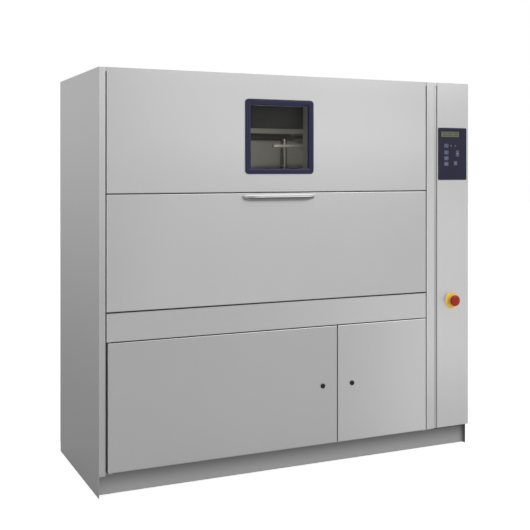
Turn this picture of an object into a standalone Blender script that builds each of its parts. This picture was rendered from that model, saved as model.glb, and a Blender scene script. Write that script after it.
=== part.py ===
"""Cage and bottle washer: a free-standing stainless steel machine with a drop-down loading door.

Units are metres, +Z is up, +X runs to the right along the front and the front faces -Y.
The origin lies on the floor, under the middle of everything that the machine reaches.
"""

import math

import bmesh
import bpy
from mathutils import Matrix, Vector

for leftover in list(bpy.data.objects):
    bpy.data.objects.remove(leftover)

# Cabinet front, from its left edge to its right edge
PILLAR_WIDTH = 0.032
LEFT_GAP = 0.006
DOOR_WIDTH = 1.770
RIGHT_GAP = 0.004
POST_WIDTH = 0.051
GROOVE_WIDTH = 0.017
COLUMN_WIDTH = 0.208

# Cabinet front, from the floor up
SKIRT_HEIGHT = 0.112
SERVICE_DOOR_HEIGHT = 0.604
SERVICE_SEAM = 0.004
APRON_HEIGHT = 0.135
DOOR_SEAM = 0.004
DOOR_HEIGHT = 0.548
HEAD_SEAM = 0.005
HEAD_HEIGHT = 0.588

# Cabinet depth, and what stands out in front of it and behind it
BODY_DEPTH = 0.820
HANDLE_REACH = 0.045
REAR_REACH = 0.030

# Sheet metal: its thickness, the outer radius of a fold, and the gap between pieces that touch
SHEET = 0.002
BEND = 0.003
FIT = 0.0003
FLANGE = 0.025
LID_DEPTH = 0.020
PILLAR_FOOT = 0.101

# Doors: thickness, hinge axes and closing seams
DOOR_THICKNESS = 0.045
HINGE_RISE = 0.032
HINGE_DEPTH = 0.012
SHAFT_RADIUS = 0.005
SERVICE_THICKNESS = 0.022
SERVICE_SIDE_GAP = 0.007
SERVICE_SPLIT_GAP = 0.004
LEFT_DOOR_WIDTH = 1.212
PIVOT_INSET = 0.009
PIVOT_RADIUS = 0.003
LOCK_INSET = 0.086
LOCK_RISE = 0.298
BARREL_RADIUS = 0.0095
MULLION_HALF = 0.060
MULLION_SHEET = 0.003
MULLION_GAP = 0.0005

# Front frame, and the seal between it and the loading door
FRAME_THICKNESS = 0.0147
FRAME_FOOT = 0.030
FRAME_HEAD = 0.045
SILL_DROP = 0.016
LOAD_WIDTH = 1.600
LOAD_SILL = 0.044
LOAD_HEAD = 0.022
SEAL_INSET = 0.005
SEAL_WIDTH = 0.015
SEAL_ROOM = 0.002
SEAL_RADIUS = 0.018
HINGE_ARM_SPREAD = 0.800
ARM_WIDTH = 0.016
ARM_HALF = 0.009
ARM_ROOM = 0.002

# Quadrant stays of the loading door
STAY_RADIUS = 0.200
STAY_WIDTH = 0.018
STAY_THICKNESS = 0.005
STAY_CLEARANCE = 0.002
STAY_SIDE_ROOM = 0.001

# Base frame
TUBE = 0.040
FOOT_HEIGHT = 0.055
POST_TUBE = 0.030

# Wash chamber, its sump opening and its window
CHAMBER_SIDE_ROOM = 0.022
CHAMBER_BACK_ROOM = 0.0974
CHAMBER_TOP = 1.767
FLOOR_RISE = 0.020
FLOOR_FLAT_WIDTH = 0.500
FLOOR_UNDER_HINGE = 0.006
COVE = 0.020
SUMP_OPENING_WIDTH = 0.460
SUMP_OPENING_DEPTH = 0.360
WINDOW_WIDTH = 0.379
WINDOW_HEIGHT = 0.374
WINDOW_OFFSET = 0.0045
WINDOW_SILL = 0.090
WINDOW_BAND = 0.028
WINDOW_GRIP = 0.012
WINDOW_TAIL = 0.007
GLASS_THICKNESS = 0.005
SPIGOT_RADIUS = 0.055
SPIGOT_REACH = 0.040
SPIGOT_OFFSET = 0.430
SPIGOT_BACK_ROOM = 0.1203
RACK_ROOM = 0.011
RAIL_THICKNESS = 0.008

# Water circuit
ARM_SPREAD = 0.410
ARM_RADIUS = 0.260
HEADER_RADIUS = 0.025
BRANCH_RADIUS = 0.019
SPIGOT_PIN_RADIUS = 0.0115
LOWER_HEADER_DROP = 0.070
UPPER_HEADER_DROP = 0.052
HEADER_BACK_ROOM = 0.031
RISER_OFFSET = 0.360
UPPER_BEND = 0.030
RUNNING = 0.0003
LOWER_SHOULDER_RISE = 0.018
UPPER_SHOULDER_DROP = 0.043
HUB_HEIGHT = 0.026
PIN_HEIGHT = 0.020
PUMP_AXIS_Z = 0.245
SUMP_DEPTH = 0.325
WELL_HEIGHT = 0.100
WELL_WIDTH = 0.240
WELL_DEPTH = 0.200
OUTLET_RADIUS = 0.020
DRAIN_Z = 0.610
HEATER_PORT = 0.050
SUCTION_RADIUS = 0.030
SUCTION_BEND = 0.060
PUMP_DISTANCE = 0.585
PUMP_OUTLET_X = 0.030
PUMP_OUTLET_Y = 0.055
PUMP_OUTLET_Z = 0.400
FRONT_MOTOR_FOOT = 0.510
REAR_MOTOR_FOOT = 0.330
INLET_DISTANCE = 0.220
INLET_PITCH = 0.070
INLET_Z = 0.560
INLET_RADIUS = 0.013
FILL_DISTANCE = 0.323
FILL_BACK_ROOM = 0.1003
FILL_RADIUS = 0.009
FILL_LIFT = 0.080
TUBE_BEND = 0.018

# Control column
CONTROL_INSET = 0.008
CONTROL_RIGHT_INSET = 0.014
CONTROL_SILL = 1.468
CONTROL_HEIGHT = 0.286
CONTROL_RIM = 0.012
DISPLAY_LOW = (0.018, 0.236)
DISPLAY_HIGH = (0.135, 0.265)
KEY_ROOM = 0.0005
KEY_POCKET = 0.0022
KEY_PROUD = 0.0006
KEY_TRAVEL = 0.0005
STOP_BUTTON_Z = 0.806
STOP_INSET = 0.099
STOP_PLATE_RADIUS = 0.045
STOP_HEAD_RADIUS = 0.030
STOP_BARREL_RADIUS = 0.013
STOP_STEM_RADIUS = 0.007
STOP_TRAVEL = 0.006

# Keys: name, middle from the panel's left and lower edges, width and height
KEYS = (
    ("key_program_1", 0.051, 0.188, 0.026, 0.020),
    ("key_program_2", 0.051, 0.151, 0.026, 0.020),
    ("key_program_3", 0.051, 0.119, 0.026, 0.020),
    ("key_program_4", 0.051, 0.088, 0.026, 0.020),
    ("key_select", 0.112, 0.092, 0.020, 0.022),
    ("key_start", 0.125, 0.146, 0.020, 0.032),
)

# Flat sides of round pieces that a hole fits
SPIGOT_SIDES = 24
STUB_SIDES = 16
PIPE_SIDES = 12
PIVOT_SIDES = 10
SHAFT_SIDES = 12
LOCK_SIDES = 16
ARM_BORE_SIDES = 16

# Corners sharper than this stay crisp, corners nearly straight get no arc, near points are one
SHARP_DEGREES = 32
UPRIGHT_COSINE = 0.9
STRAIGHT_DEGREES = 170
WELD = 1e-6

# One overrun serves every cutter that runs out of the piece it cuts
OVERRUN = 0.010

# Places that follow from the sizes above
BODY_WIDTH = (PILLAR_WIDTH + LEFT_GAP + DOOR_WIDTH + RIGHT_GAP + POST_WIDTH + GROOVE_WIDTH
              + COLUMN_WIDTH)
LEFT_X = -BODY_WIDTH / 2
DOOR_LEFT = LEFT_X + PILLAR_WIDTH + LEFT_GAP
DOOR_RIGHT = DOOR_LEFT + DOOR_WIDTH
DOOR_MID = (DOOR_LEFT + DOOR_RIGHT) / 2
POST_LEFT = DOOR_RIGHT + RIGHT_GAP
POST_RIGHT = POST_LEFT + POST_WIDTH
COLUMN_LEFT = POST_RIGHT + GROOVE_WIDTH
RIGHT_X = COLUMN_LEFT + COLUMN_WIDTH
STOP_X = COLUMN_LEFT + STOP_INSET
INNER_LEFT = LEFT_X + SHEET + FIT
INNER_RIGHT = RIGHT_X - SHEET - FIT

SERVICE_TOP = SKIRT_HEIGHT + SERVICE_DOOR_HEIGHT
APRON_BOTTOM = SERVICE_TOP + SERVICE_SEAM
APRON_TOP = APRON_BOTTOM + APRON_HEIGHT
DOOR_BOTTOM = APRON_TOP + DOOR_SEAM
DOOR_TOP = DOOR_BOTTOM + DOOR_HEIGHT
HEAD_BOTTOM = DOOR_TOP + HEAD_SEAM
TOP_Z = HEAD_BOTTOM + HEAD_HEIGHT

FRONT_Y = -(BODY_DEPTH + HANDLE_REACH + REAR_REACH) / 2 + HANDLE_REACH
BACK_Y = FRONT_Y + BODY_DEPTH
REAR_PANEL_Y = BACK_Y - SHEET
INNER_BACK = REAR_PANEL_Y - FIT

HINGE_Y = FRONT_Y + HINGE_DEPTH
HINGE_Z = DOOR_BOTTOM + HINGE_RISE
FRAME_FRONT = FRONT_Y + DOOR_THICKNESS + FIT
FRAME_BACK = FRAME_FRONT + FRAME_THICKNESS
FRAME_RIGHT = POST_RIGHT - SHEET - FIT
BASE_TOP = FOOT_HEIGHT + FIT + TUBE
BASE_FRONT = FRAME_FRONT + SHEET + FIT
FRAME_BASE = BASE_TOP + FIT
SILL_BOTTOM = SERVICE_TOP - SILL_DROP
SEAL_REACH = SEAL_INSET + SEAL_WIDTH + SEAL_ROOM
LOAD_LEFT = DOOR_MID - LOAD_WIDTH / 2
LOAD_RIGHT = DOOR_MID + LOAD_WIDTH / 2
LOAD_BOTTOM = HINGE_Z + LOAD_SILL
LOAD_TOP = DOOR_TOP - LOAD_HEAD
FRAME_TOP = LOAD_TOP + SEAL_REACH + FRAME_HEAD

SERVICE_LEFT = DOOR_LEFT + SERVICE_SIDE_GAP
SPLIT_LEFT = SERVICE_LEFT + LEFT_DOOR_WIDTH
SPLIT_RIGHT = SPLIT_LEFT + SERVICE_SPLIT_GAP
SPLIT_MID = (SPLIT_LEFT + SPLIT_RIGHT) / 2
PIVOT_Y = FRONT_Y + PIVOT_INSET
LOCK_Z = SKIRT_HEIGHT + LOCK_RISE
PIVOTS_X = (SERVICE_LEFT + PIVOT_INSET, DOOR_RIGHT - PIVOT_INSET)
MULLION_BACK = FRONT_Y + SERVICE_THICKNESS + MULLION_GAP + MULLION_SHEET
HINGE_ARMS_X = (DOOR_MID - HINGE_ARM_SPREAD, DOOR_MID, DOOR_MID + HINGE_ARM_SPREAD)
STAYS_X = (DOOR_LEFT + SHEET + FIT, DOOR_RIGHT - SHEET - FIT - STAY_THICKNESS)
LINER_SIDE_GAP = SHEET + FIT + STAY_THICKNESS + STAY_SIDE_ROOM
TUNNEL_FRONT = FRONT_Y + SHEET + FIT + WINDOW_TAIL + FIT

CHAMBER_LEFT = LOAD_LEFT - CHAMBER_SIDE_ROOM
CHAMBER_RIGHT = LOAD_RIGHT + CHAMBER_SIDE_ROOM
CHAMBER_FRONT = FRAME_BACK + FIT
CHAMBER_BACK = INNER_BACK - CHAMBER_BACK_ROOM
CHAMBER_MID_Y = (CHAMBER_FRONT + CHAMBER_BACK) / 2
FLOOR_Z = HINGE_Z - FLOOR_UNDER_HINGE
FLOOR_TOP = FLOOR_Z + SHEET
LOWER_HEADER_Z = FLOOR_Z - LOWER_HEADER_DROP
LOWER_SHOULDER = FLOOR_Z + LOWER_SHOULDER_RISE
UPPER_HEADER_Z = CHAMBER_TOP - UPPER_HEADER_DROP
UPPER_SHOULDER = UPPER_HEADER_Z - UPPER_SHOULDER_DROP
POST_FRONT = CHAMBER_BACK + FIT
HEADER_Y = CHAMBER_BACK - HEADER_BACK_ROOM
RISER_X = DOOR_MID + RISER_OFFSET
WASH_ARMS_X = (DOOR_MID - ARM_SPREAD, DOOR_MID + ARM_SPREAD)
SPIGOT_X = DOOR_MID + SPIGOT_OFFSET
SPIGOT_Y = CHAMBER_BACK - SPIGOT_BACK_ROOM
RAIL_TOP = LOWER_SHOULDER + HUB_HEIGHT + RACK_ROOM
RACK_BASE = RAIL_TOP + FIT
SUMP_TOP = FLOOR_Z - FIT
WELL_BOTTOM = SUMP_TOP - SUMP_DEPTH
WELL_TOP = WELL_BOTTOM + WELL_HEIGHT
PUMP_X = LEFT_X + PUMP_DISTANCE
MOTOR_FEET_X = (LEFT_X + REAR_MOTOR_FOOT, LEFT_X + FRONT_MOTOR_FOOT)
INLET_X = (LEFT_X + INLET_DISTANCE, LEFT_X + INLET_DISTANCE + INLET_PITCH)
FILL_X = LEFT_X + FILL_DISTANCE
FILL_Y = CHAMBER_BACK - FILL_BACK_ROOM

# Outward direction of each side of a block
SIDES = {"left": "-x", "right": "+x", "front": "-y", "back": "+y", "bottom": "-z", "top": "+z"}

# Finishes: colour, roughness and metallic value
FINISHES = {
    "brushed_steel": ((0.62, 0.62, 0.63), 0.34, 1.0),
    "satin_steel": ((0.55, 0.56, 0.57), 0.28, 1.0),
    "frame_steel": ((0.42, 0.43, 0.45), 0.45, 1.0),
    "navy_rubber": ((0.02, 0.02, 0.07), 0.55, 0.0),
    "black_rubber": ((0.02, 0.02, 0.02), 0.65, 0.0),
    "clear_glass": ((0.75, 0.80, 0.80), 0.05, 0.0),
    "black_plastic": ((0.02, 0.02, 0.02), 0.40, 0.0),
    "navy_film": ((0.03, 0.03, 0.08), 0.30, 0.0),
    "key_film": ((0.25, 0.24, 0.38), 0.40, 0.0),
    "display_glass": ((0.30, 0.36, 0.22), 0.15, 0.0),
    "yellow_plastic": ((0.85, 0.55, 0.03), 0.40, 0.0),
    "red_plastic": ((0.45, 0.01, 0.01), 0.30, 0.0),
    "motor_paint": ((0.16, 0.20, 0.26), 0.45, 0.0),
    "canister_plastic": ((0.72, 0.74, 0.70), 0.50, 0.0),
    "grey_plastic": ((0.25, 0.26, 0.27), 0.50, 0.0),
    "board_plate": ((0.55, 0.45, 0.20), 0.50, 0.3),
}


def as_object(mesh):
    """Closes a bmesh into an object of the scene, with its faces pointing out."""
    bmesh.ops.recalc_face_normals(mesh, faces=mesh.faces)
    data = bpy.data.meshes.new("draft")
    mesh.to_mesh(data)
    mesh.free()
    made = bpy.data.objects.new("draft", data)
    bpy.context.scene.collection.objects.link(made)
    return made


def block(low, high):
    """A box between two corners."""
    low, high = Vector(low), Vector(high)
    mesh = bmesh.new()
    place = Matrix.Translation((low + high) / 2) @ Matrix.Diagonal(high - low).to_4x4()
    bmesh.ops.create_cube(mesh, size=1.0, matrix=place)
    return as_object(mesh)


def rod(start, end, radius, sides=12, end_radius=None):
    """A round bar, or a cone, between two points."""
    start, end = Vector(start), Vector(end)
    mesh = bmesh.new()
    turn = (end - start).to_track_quat("Z", "Y").to_matrix().to_4x4()
    place = Matrix.Translation((start + end) / 2) @ turn
    bmesh.ops.create_cone(mesh, cap_ends=True, segments=sides, radius1=radius, matrix=place,
                          radius2=radius if end_radius is None else end_radius,
                          depth=(end - start).length)
    return as_object(mesh)


def bore_radius(radius, sides, clearance=FIT):
    """The corner radius of a bore with flat sides that keeps its clearance round a turning pin."""
    return (radius + clearance) / math.cos(math.pi / sides)


def lifted(point, axis, along):
    """A point of an outline, set at a distance along the axis that the outline is extruded on."""
    if axis == 0:
        return Vector((along, point[0], point[1]))
    if axis == 1:
        return Vector((point[0], along, point[1]))
    return Vector((point[0], point[1], along))


def prism(outline, axis, start, end):
    """An outline in the plane across an axis, extruded along it."""
    mesh = bmesh.new()
    corners = [mesh.verts.new(lifted(point, axis, start)) for point in outline]
    face = mesh.faces.new(corners)
    extruded = bmesh.ops.extrude_face_region(mesh, geom=[face])
    moved = [item for item in extruded["geom"] if isinstance(item, bmesh.types.BMVert)]
    shift = lifted((0, 0), axis, end) - lifted((0, 0), axis, start)
    bmesh.ops.translate(mesh, verts=moved, vec=shift)
    return as_object(mesh)


def turned(profile, base, direction, sides=16):
    """A profile of (radius, height) points, turned about an axis; flat ends are closed with one face."""
    mesh = bmesh.new()
    verts = [mesh.verts.new((radius, 0, height)) for radius, height in profile]
    edges = [mesh.edges.new(pair) for pair in zip(verts, verts[1:])]
    bmesh.ops.spin(mesh, geom=verts + edges, cent=(0, 0, 0), axis=(0, 0, 1),
                   angle=math.tau, steps=sides, use_merge=True)
    bmesh.ops.remove_doubles(mesh, verts=mesh.verts, dist=WELD)
    bmesh.ops.holes_fill(mesh, edges=[edge for edge in mesh.edges if edge.is_boundary])
    turn = Vector(direction).to_track_quat("Z", "Y").to_matrix().to_4x4()
    bmesh.ops.transform(mesh, matrix=Matrix.Translation(base) @ turn, verts=mesh.verts)
    return as_object(mesh)


def rounded(points, radius, steps, closed=True):
    """The points of a line or an outline with each corner replaced by an arc."""
    points = [Vector(point) for point in points]
    result = []
    for index, corner in enumerate(points):
        if not closed and index in (0, len(points) - 1):
            result.append(corner)
            continue
        before = (points[index - 1] - corner).normalized()
        after = (points[(index + 1) % len(points)] - corner).normalized()
        half_angle = before.angle(after) / 2
        if half_angle > math.radians(STRAIGHT_DEGREES / 2):
            result.append(corner)
            continue
        centre = corner + (before + after).normalized() * radius / math.sin(half_angle)
        first = corner + before * radius / math.tan(half_angle) - centre
        last = corner + after * radius / math.tan(half_angle) - centre
        for step in range(steps + 1):
            arm = first.normalized().slerp(last.normalized(), step / steps)
            result.append(centre + arm * radius)
    return result


def bent_sheet(line, axis, start, end, sheet=SHEET, bend=BEND, steps=2):
    """A sheet folded along the middle line that is given, extruded along an axis."""
    middle = rounded(line, bend - sheet / 2, steps, closed=False)
    one_side, other_side = [], []
    for index, point in enumerate(middle):
        before = (point - middle[index - 1]).normalized() if index else None
        after = (middle[index + 1] - point).normalized() if index + 1 < len(middle) else None
        before, after = before or after, after or before
        across = Vector((-before.y - after.y, before.x + after.x)).normalized()
        reach = sheet / 2 / across.dot(Vector((-before.y, before.x)))
        one_side.append(point + across * reach)
        other_side.append(point - across * reach)
    return prism(one_side + other_side[::-1], axis, start, end)


def pipe(points, radius, bend, sides=10, steps=3):
    """A bar of round section swept along a route with rounded corners."""
    route = rounded(points, bend, steps, closed=False)
    mesh = bmesh.new()
    rings, across = [], None
    for index, point in enumerate(route):
        before = (point - route[index - 1]).normalized() if index else None
        after = (route[index + 1] - point).normalized() if index + 1 < len(route) else None
        along = ((before or after) + (after or before)).normalized()
        across = (across or along.orthogonal()).cross(along).cross(along).normalized()
        upright = along.cross(across)
        angles = [math.tau * side / sides for side in range(sides)]
        rings.append([mesh.verts.new(point + across * radius * math.cos(angle)
                                     + upright * radius * math.sin(angle))
                      for angle in angles])
        across = -across
    for ring, following in zip(rings, rings[1:]):
        for side in range(sides):
            nearby = (side + 1) % sides
            mesh.faces.new((ring[side], ring[nearby], following[nearby], following[side]))
    mesh.faces.new(rings[0])
    mesh.faces.new(rings[-1])
    return as_object(mesh)


def combine(piece, others, operation):
    """Applies one Boolean after another to a piece and removes the pieces that were used up."""
    for other in others:
        modifier = piece.modifiers.new(operation.lower(), "BOOLEAN")
        modifier.operation = operation
        modifier.solver = "EXACT"
        modifier.object = other
    evaluated = piece.evaluated_get(bpy.context.evaluated_depsgraph_get())
    piece.data = bpy.data.meshes.new_from_object(evaluated)
    piece.modifiers.clear()
    for other in others:
        bpy.data.objects.remove(other)
    return piece


def join(piece, *others):
    return combine(piece, others, "UNION")


def cut(piece, *others):
    return combine(piece, others, "DIFFERENCE")


def side_of(face):
    """Which side of a block a face lies on, as the end of an axis."""
    axis = max(range(3), key=lambda index: abs(face.normal[index]))
    return ("+" if face.normal[axis] > 0 else "-") + "xyz"[axis]


def round_edges(piece, sides, radius, segments=2):
    """Rounds the edges of a block that lie between two of the named sides."""
    mesh = bmesh.new()
    mesh.from_mesh(piece.data)
    mesh.normal_update()
    kept = [SIDES[side] for side in sides]
    edges = [edge for edge in mesh.edges if all(side_of(face) in kept for face in edge.link_faces)]
    bmesh.ops.bevel(mesh, geom=edges, offset=radius, segments=segments, profile=0.5,
                    affect="EDGES", material=-1)
    mesh.to_mesh(piece.data)
    mesh.free()
    return piece


def folded_panel(low, high, closed, flanges, sheet=SHEET):
    """A sheet folded into a tray, with one closed face and a flange along each named side."""
    panel = round_edges(block(low, high), (closed, *flanges), BEND)
    kept = [SIDES[side] for side in (closed, *flanges)]
    inner_low, inner_high = list(low), list(high)
    for way in SIDES.values():
        inset = sheet if way in kept else -OVERRUN
        axis = "xyz".index(way[1])
        if way[0] == "-":
            inner_low[axis] += inset
        else:
            inner_high[axis] -= inset
    return cut(panel, block(inner_low, inner_high))


def clear_of_lid(piece):
    """Relieves the corners of a panel where the flanges of the top panel come down inside it."""
    low = (LEFT_X + SHEET, FRONT_Y + SHEET, TOP_Z - LID_DEPTH - FIT)
    return cut(piece, block(low, (RIGHT_X - SHEET, BACK_Y + OVERRUN, TOP_Z + OVERRUN)))


def named(piece, name, finish, origin=(0, 0, 0)):
    """Names a finished piece, gives it its own material and puts its origin on its joint's axis."""
    colour, roughness, metallic = FINISHES[finish]
    piece.name = name
    piece.data.name = name
    material = bpy.data.materials.new(name + "_finish")
    material.use_nodes = True
    shader = material.node_tree.nodes["Principled BSDF"]
    shader.inputs["Base Color"].default_value = (*colour, 1)
    shader.inputs["Roughness"].default_value = roughness
    shader.inputs["Metallic"].default_value = metallic
    piece.data.materials.clear()
    piece.data.materials.append(material)
    piece.data.transform(Matrix.Translation(-Vector(origin)))
    piece.location = origin
    piece.data.shade_smooth()
    piece.data.set_sharp_from_angle(angle=math.radians(SHARP_DEGREES))
    return piece


def base_frame():
    """Ladder of square tubes on the feet, with a floor plate for the canisters and two rear posts."""
    plate_thickness = 0.003
    post_inset, post_overlap = 0.019, 0.0029
    low_z, high_z = FOOT_HEIGHT + FIT, BASE_TOP
    frame = block((INNER_LEFT, BASE_FRONT, low_z), (INNER_RIGHT, BASE_FRONT + TUBE, high_z))
    pieces = [block((INNER_LEFT, INNER_BACK - TUBE, low_z), (INNER_RIGHT, INNER_BACK, high_z))]
    for left in (INNER_LEFT, *(middle - TUBE / 2 for middle in cross_members()), INNER_RIGHT - TUBE):
        pieces.append(block((left, BASE_FRONT + TUBE / 2, low_z),
                            (left + TUBE, INNER_BACK - TUBE / 2, high_z)))
    pieces.append(block((SPLIT_MID, BASE_FRONT + TUBE / 2, high_z - plate_thickness),
                        (POST_RIGHT, INNER_BACK - TUBE / 2, high_z)))
    for left in (CHAMBER_LEFT + post_inset, CHAMBER_RIGHT - post_inset - POST_TUBE):
        pieces.append(block((left, POST_FRONT, low_z + TUBE / 2),
                            (left + POST_TUBE, INNER_BACK - TUBE + post_overlap, TOP_Z - SHEET - FIT)))
    return named(join(frame, *pieces), "base_frame", "frame_steel")


def cross_members():
    """Middles of the cross tubes: two under the motor, one under the mullion, one under the post."""
    return MOTOR_FEET_X[0], MOTOR_FEET_X[1], SPLIT_MID, POST_RIGHT


def levelling_feet():
    """Four screwed feet with a flat pad, a lock nut under the tube and a stud between."""
    pad_radius, pad_height = 0.018, 0.010
    stud_radius, nut_radius, nut_height = 0.007, 0.012, 0.010
    edge = 0.002
    inset = 0.058
    profile = [(pad_radius, 0), (pad_radius, pad_height - edge), (pad_radius - edge, pad_height),
               (stud_radius, pad_height + edge), (stud_radius, FOOT_HEIGHT - nut_height),
               (nut_radius, FOOT_HEIGHT - nut_height), (nut_radius, FOOT_HEIGHT)]
    for end, y in (("front", BASE_FRONT + TUBE / 2), ("rear", INNER_BACK - TUBE / 2)):
        for side, x in (("left", INNER_LEFT + inset), ("right", INNER_RIGHT - inset)):
            foot = turned(profile, (x, y, 0), (0, 0, 1), sides=12)
            named(foot, f"foot_{end}_{side}", "satin_steel")


def plinth():
    """Kick plate, clipped to the base frame behind the line of the doors."""
    floor_gap = 0.003
    plate = block((INNER_LEFT, FRAME_FRONT, floor_gap), (INNER_RIGHT, FRAME_FRONT + SHEET, BASE_TOP))
    return named(plate, "plinth", "brushed_steel")


def side_panels():
    """Left side panel, whose front flange is the left pillar, and right side panel behind the column."""
    foot_relief, column_relief = 0.030, 0.050
    narrow_flange = 0.016
    back = BACK_Y - SHEET - FIT
    left_x, right_x = LEFT_X + SHEET / 2, RIGHT_X - SHEET / 2
    front_y, back_y = FRONT_Y + SHEET / 2, back - SHEET / 2
    pillar_x = LEFT_X + PILLAR_WIDTH - SHEET / 2
    line = [(pillar_x, FRONT_Y + FLANGE), (pillar_x, front_y), (left_x, front_y), (left_x, back_y),
            (left_x + FLANGE, back_y)]
    left = bent_sheet(line, 2, 0, TOP_Z)
    under_pillar = block((LEFT_X + SHEET, FRONT_Y - OVERRUN, -OVERRUN),
                         (LEFT_X + PILLAR_WIDTH + OVERRUN, FRONT_Y + FLANGE + OVERRUN, PILLAR_FOOT))
    rear_relief = block((LEFT_X + SHEET, back - FLANGE, -OVERRUN),
                        (RIGHT_X - SHEET, BACK_Y + OVERRUN, BASE_TOP + foot_relief))
    clear_of_lid(cut(left, under_pillar, rear_relief))
    named(left, "left_side_panel", "brushed_steel")

    front_y = FRONT_Y + FLANGE + FIT + SHEET / 2
    line = [(right_x - narrow_flange, front_y), (right_x, front_y), (right_x, back_y),
            (right_x - FLANGE, back_y)]
    right = bent_sheet(line, 2, 0, TOP_Z)
    under_column = block((RIGHT_X - FLANGE - OVERRUN, FRONT_Y, -OVERRUN),
                         (RIGHT_X - SHEET, FRONT_Y + column_relief, SKIRT_HEIGHT))
    rear_relief = block((LEFT_X + SHEET, back - FLANGE, -OVERRUN),
                        (RIGHT_X - SHEET, BACK_Y + OVERRUN, BASE_TOP + foot_relief))
    clear_of_lid(cut(right, under_column, rear_relief))
    named(right, "right_side_panel", "brushed_steel")


def column_divider():
    """Wall between the wash side and the control column; its front fold is the right post."""
    back = INNER_BACK - SHEET / 2
    line = [(POST_LEFT + SHEET / 2, FRONT_Y + FLANGE), (POST_LEFT + SHEET / 2, FRONT_Y + SHEET / 2),
            (POST_RIGHT - SHEET / 2, FRONT_Y + SHEET / 2), (POST_RIGHT - SHEET / 2, back),
            (POST_RIGHT - SHEET / 2 - FLANGE, back)]
    wall = bent_sheet(line, 2, SKIRT_HEIGHT, TOP_Z)
    return named(clear_of_lid(wall), "column_divider", "brushed_steel")


def top_panel():
    """Lid with a flange all round and a hole for the exhaust spigot."""
    lid = folded_panel((INNER_LEFT, FRONT_Y + SHEET + FIT, TOP_Z - LID_DEPTH),
                       (INNER_RIGHT, INNER_BACK, TOP_Z),
                       "top", ("left", "right", "front", "back"))
    hole = rod((SPIGOT_X, SPIGOT_Y, TOP_Z - LID_DEPTH), (SPIGOT_X, SPIGOT_Y, TOP_Z + OVERRUN),
               bore_radius(SPIGOT_RADIUS, SPIGOT_SIDES), SPIGOT_SIDES)
    return named(cut(lid, hole), "top_panel", "brushed_steel")


def rear_panel():
    """Screwed rear wall with louvres beside the pump and holes for the water and drain stubs."""
    foot_gap = 0.050
    louvre_width, louvre_height, louvre_pitch, louvre_count = 0.180, 0.008, 0.030, 8
    louvre_x, louvre_z = MOTOR_FEET_X[0], PUMP_AXIS_Z
    wall = block((LEFT_X, REAR_PANEL_Y, foot_gap), (RIGHT_X, BACK_Y, TOP_Z))
    holes = []
    for index in range(louvre_count):
        z = louvre_z + index * louvre_pitch
        holes.append(block((louvre_x - louvre_width / 2, REAR_PANEL_Y - OVERRUN, z),
                           (louvre_x + louvre_width / 2, BACK_Y + OVERRUN, z + louvre_height)))
    for x, z, radius in rear_stubs():
        holes.append(rod((x, REAR_PANEL_Y - OVERRUN, z), (x, BACK_Y + OVERRUN, z),
                         bore_radius(radius, STUB_SIDES),
                         STUB_SIDES))
    return named(cut(wall, *holes), "rear_panel", "brushed_steel")


def rear_stubs():
    """Place and radius of each stub that passes the rear panel: two water inlets and the drain."""
    inlets = [(x, INLET_Z, INLET_RADIUS) for x in INLET_X]
    return [*inlets, (DOOR_MID, DRAIN_Z, OUTLET_RADIUS)]


def front_panels():
    """Fixed front panels: head panel with the window opening, apron, and column front."""
    groove_depth = 0.006
    head = folded_panel((DOOR_LEFT, FRONT_Y, HEAD_BOTTOM), (DOOR_RIGHT, FRONT_Y + DOOR_THICKNESS, TOP_Z),
                        "front", ("left", "right", "bottom"))
    low, high = window_box(WINDOW_GRIP)
    opening = block((low.x, FRONT_Y - OVERRUN, low.y), (high.x, FRONT_Y + OVERRUN, high.y))
    clear_of_lid(cut(head, opening))
    named(head, "upper_front_panel", "brushed_steel")

    apron = folded_panel((DOOR_LEFT, FRONT_Y, APRON_BOTTOM),
                         (DOOR_RIGHT, FRONT_Y + DOOR_THICKNESS, APRON_TOP),
                         "front", ("left", "right", "bottom", "top"))
    holes = [rod((x, PIVOT_Y, APRON_BOTTOM - OVERRUN), (x, PIVOT_Y, APRON_BOTTOM + OVERRUN),
                 bore_radius(PIVOT_RADIUS, PIVOT_SIDES), PIVOT_SIDES) for x in PIVOTS_X]
    named(cut(apron, *holes), "apron_panel", "brushed_steel")

    column = folded_panel((COLUMN_LEFT, FRONT_Y, SKIRT_HEIGHT), (RIGHT_X, FRONT_Y + FLANGE, TOP_Z),
                          "front", ("left", "right", "bottom"))
    low, high = control_box(CONTROL_RIM - FIT)
    opening = block((low.x, FRONT_Y - OVERRUN, low.y), (high.x, FRONT_Y + OVERRUN, high.y))
    stop_hole = rod((STOP_X, FRONT_Y - OVERRUN, STOP_BUTTON_Z), (STOP_X, FRONT_Y + OVERRUN, STOP_BUTTON_Z),
                    bore_radius(STOP_BARREL_RADIUS, 16), 16)
    filler = block((POST_RIGHT + FIT, FRONT_Y + groove_depth, SKIRT_HEIGHT),
                   (COLUMN_LEFT + SHEET / 2, FRONT_Y + groove_depth + SHEET, TOP_Z))
    clear_of_lid(cut(join(column, filler), opening, stop_hole))
    named(column, "column_front_panel", "brushed_steel")


def window_box(inset):
    """Corners of the window, as (x, z), brought in from the rubber's outer edge by an inset."""
    sill = HEAD_BOTTOM + WINDOW_SILL
    middle = DOOR_MID + WINDOW_OFFSET
    low = Vector((middle - WINDOW_WIDTH / 2 + inset, sill + inset))
    high = Vector((middle + WINDOW_WIDTH / 2 - inset, sill + WINDOW_HEIGHT - inset))
    return low, high


def control_box(inset):
    """Corners of the control panel, as (x, z), brought in from its edge by an inset."""
    low = Vector((COLUMN_LEFT + CONTROL_INSET + inset, CONTROL_SILL + inset))
    high = Vector((RIGHT_X - CONTROL_RIGHT_INSET - inset, CONTROL_SILL + CONTROL_HEIGHT - inset))
    return low, high


def upright_block(corners, front, back):
    """A block between two (x, z) corners and two depths."""
    low, high = corners
    return block((low.x, front, low.y), (high.x, back, high.y))


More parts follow.
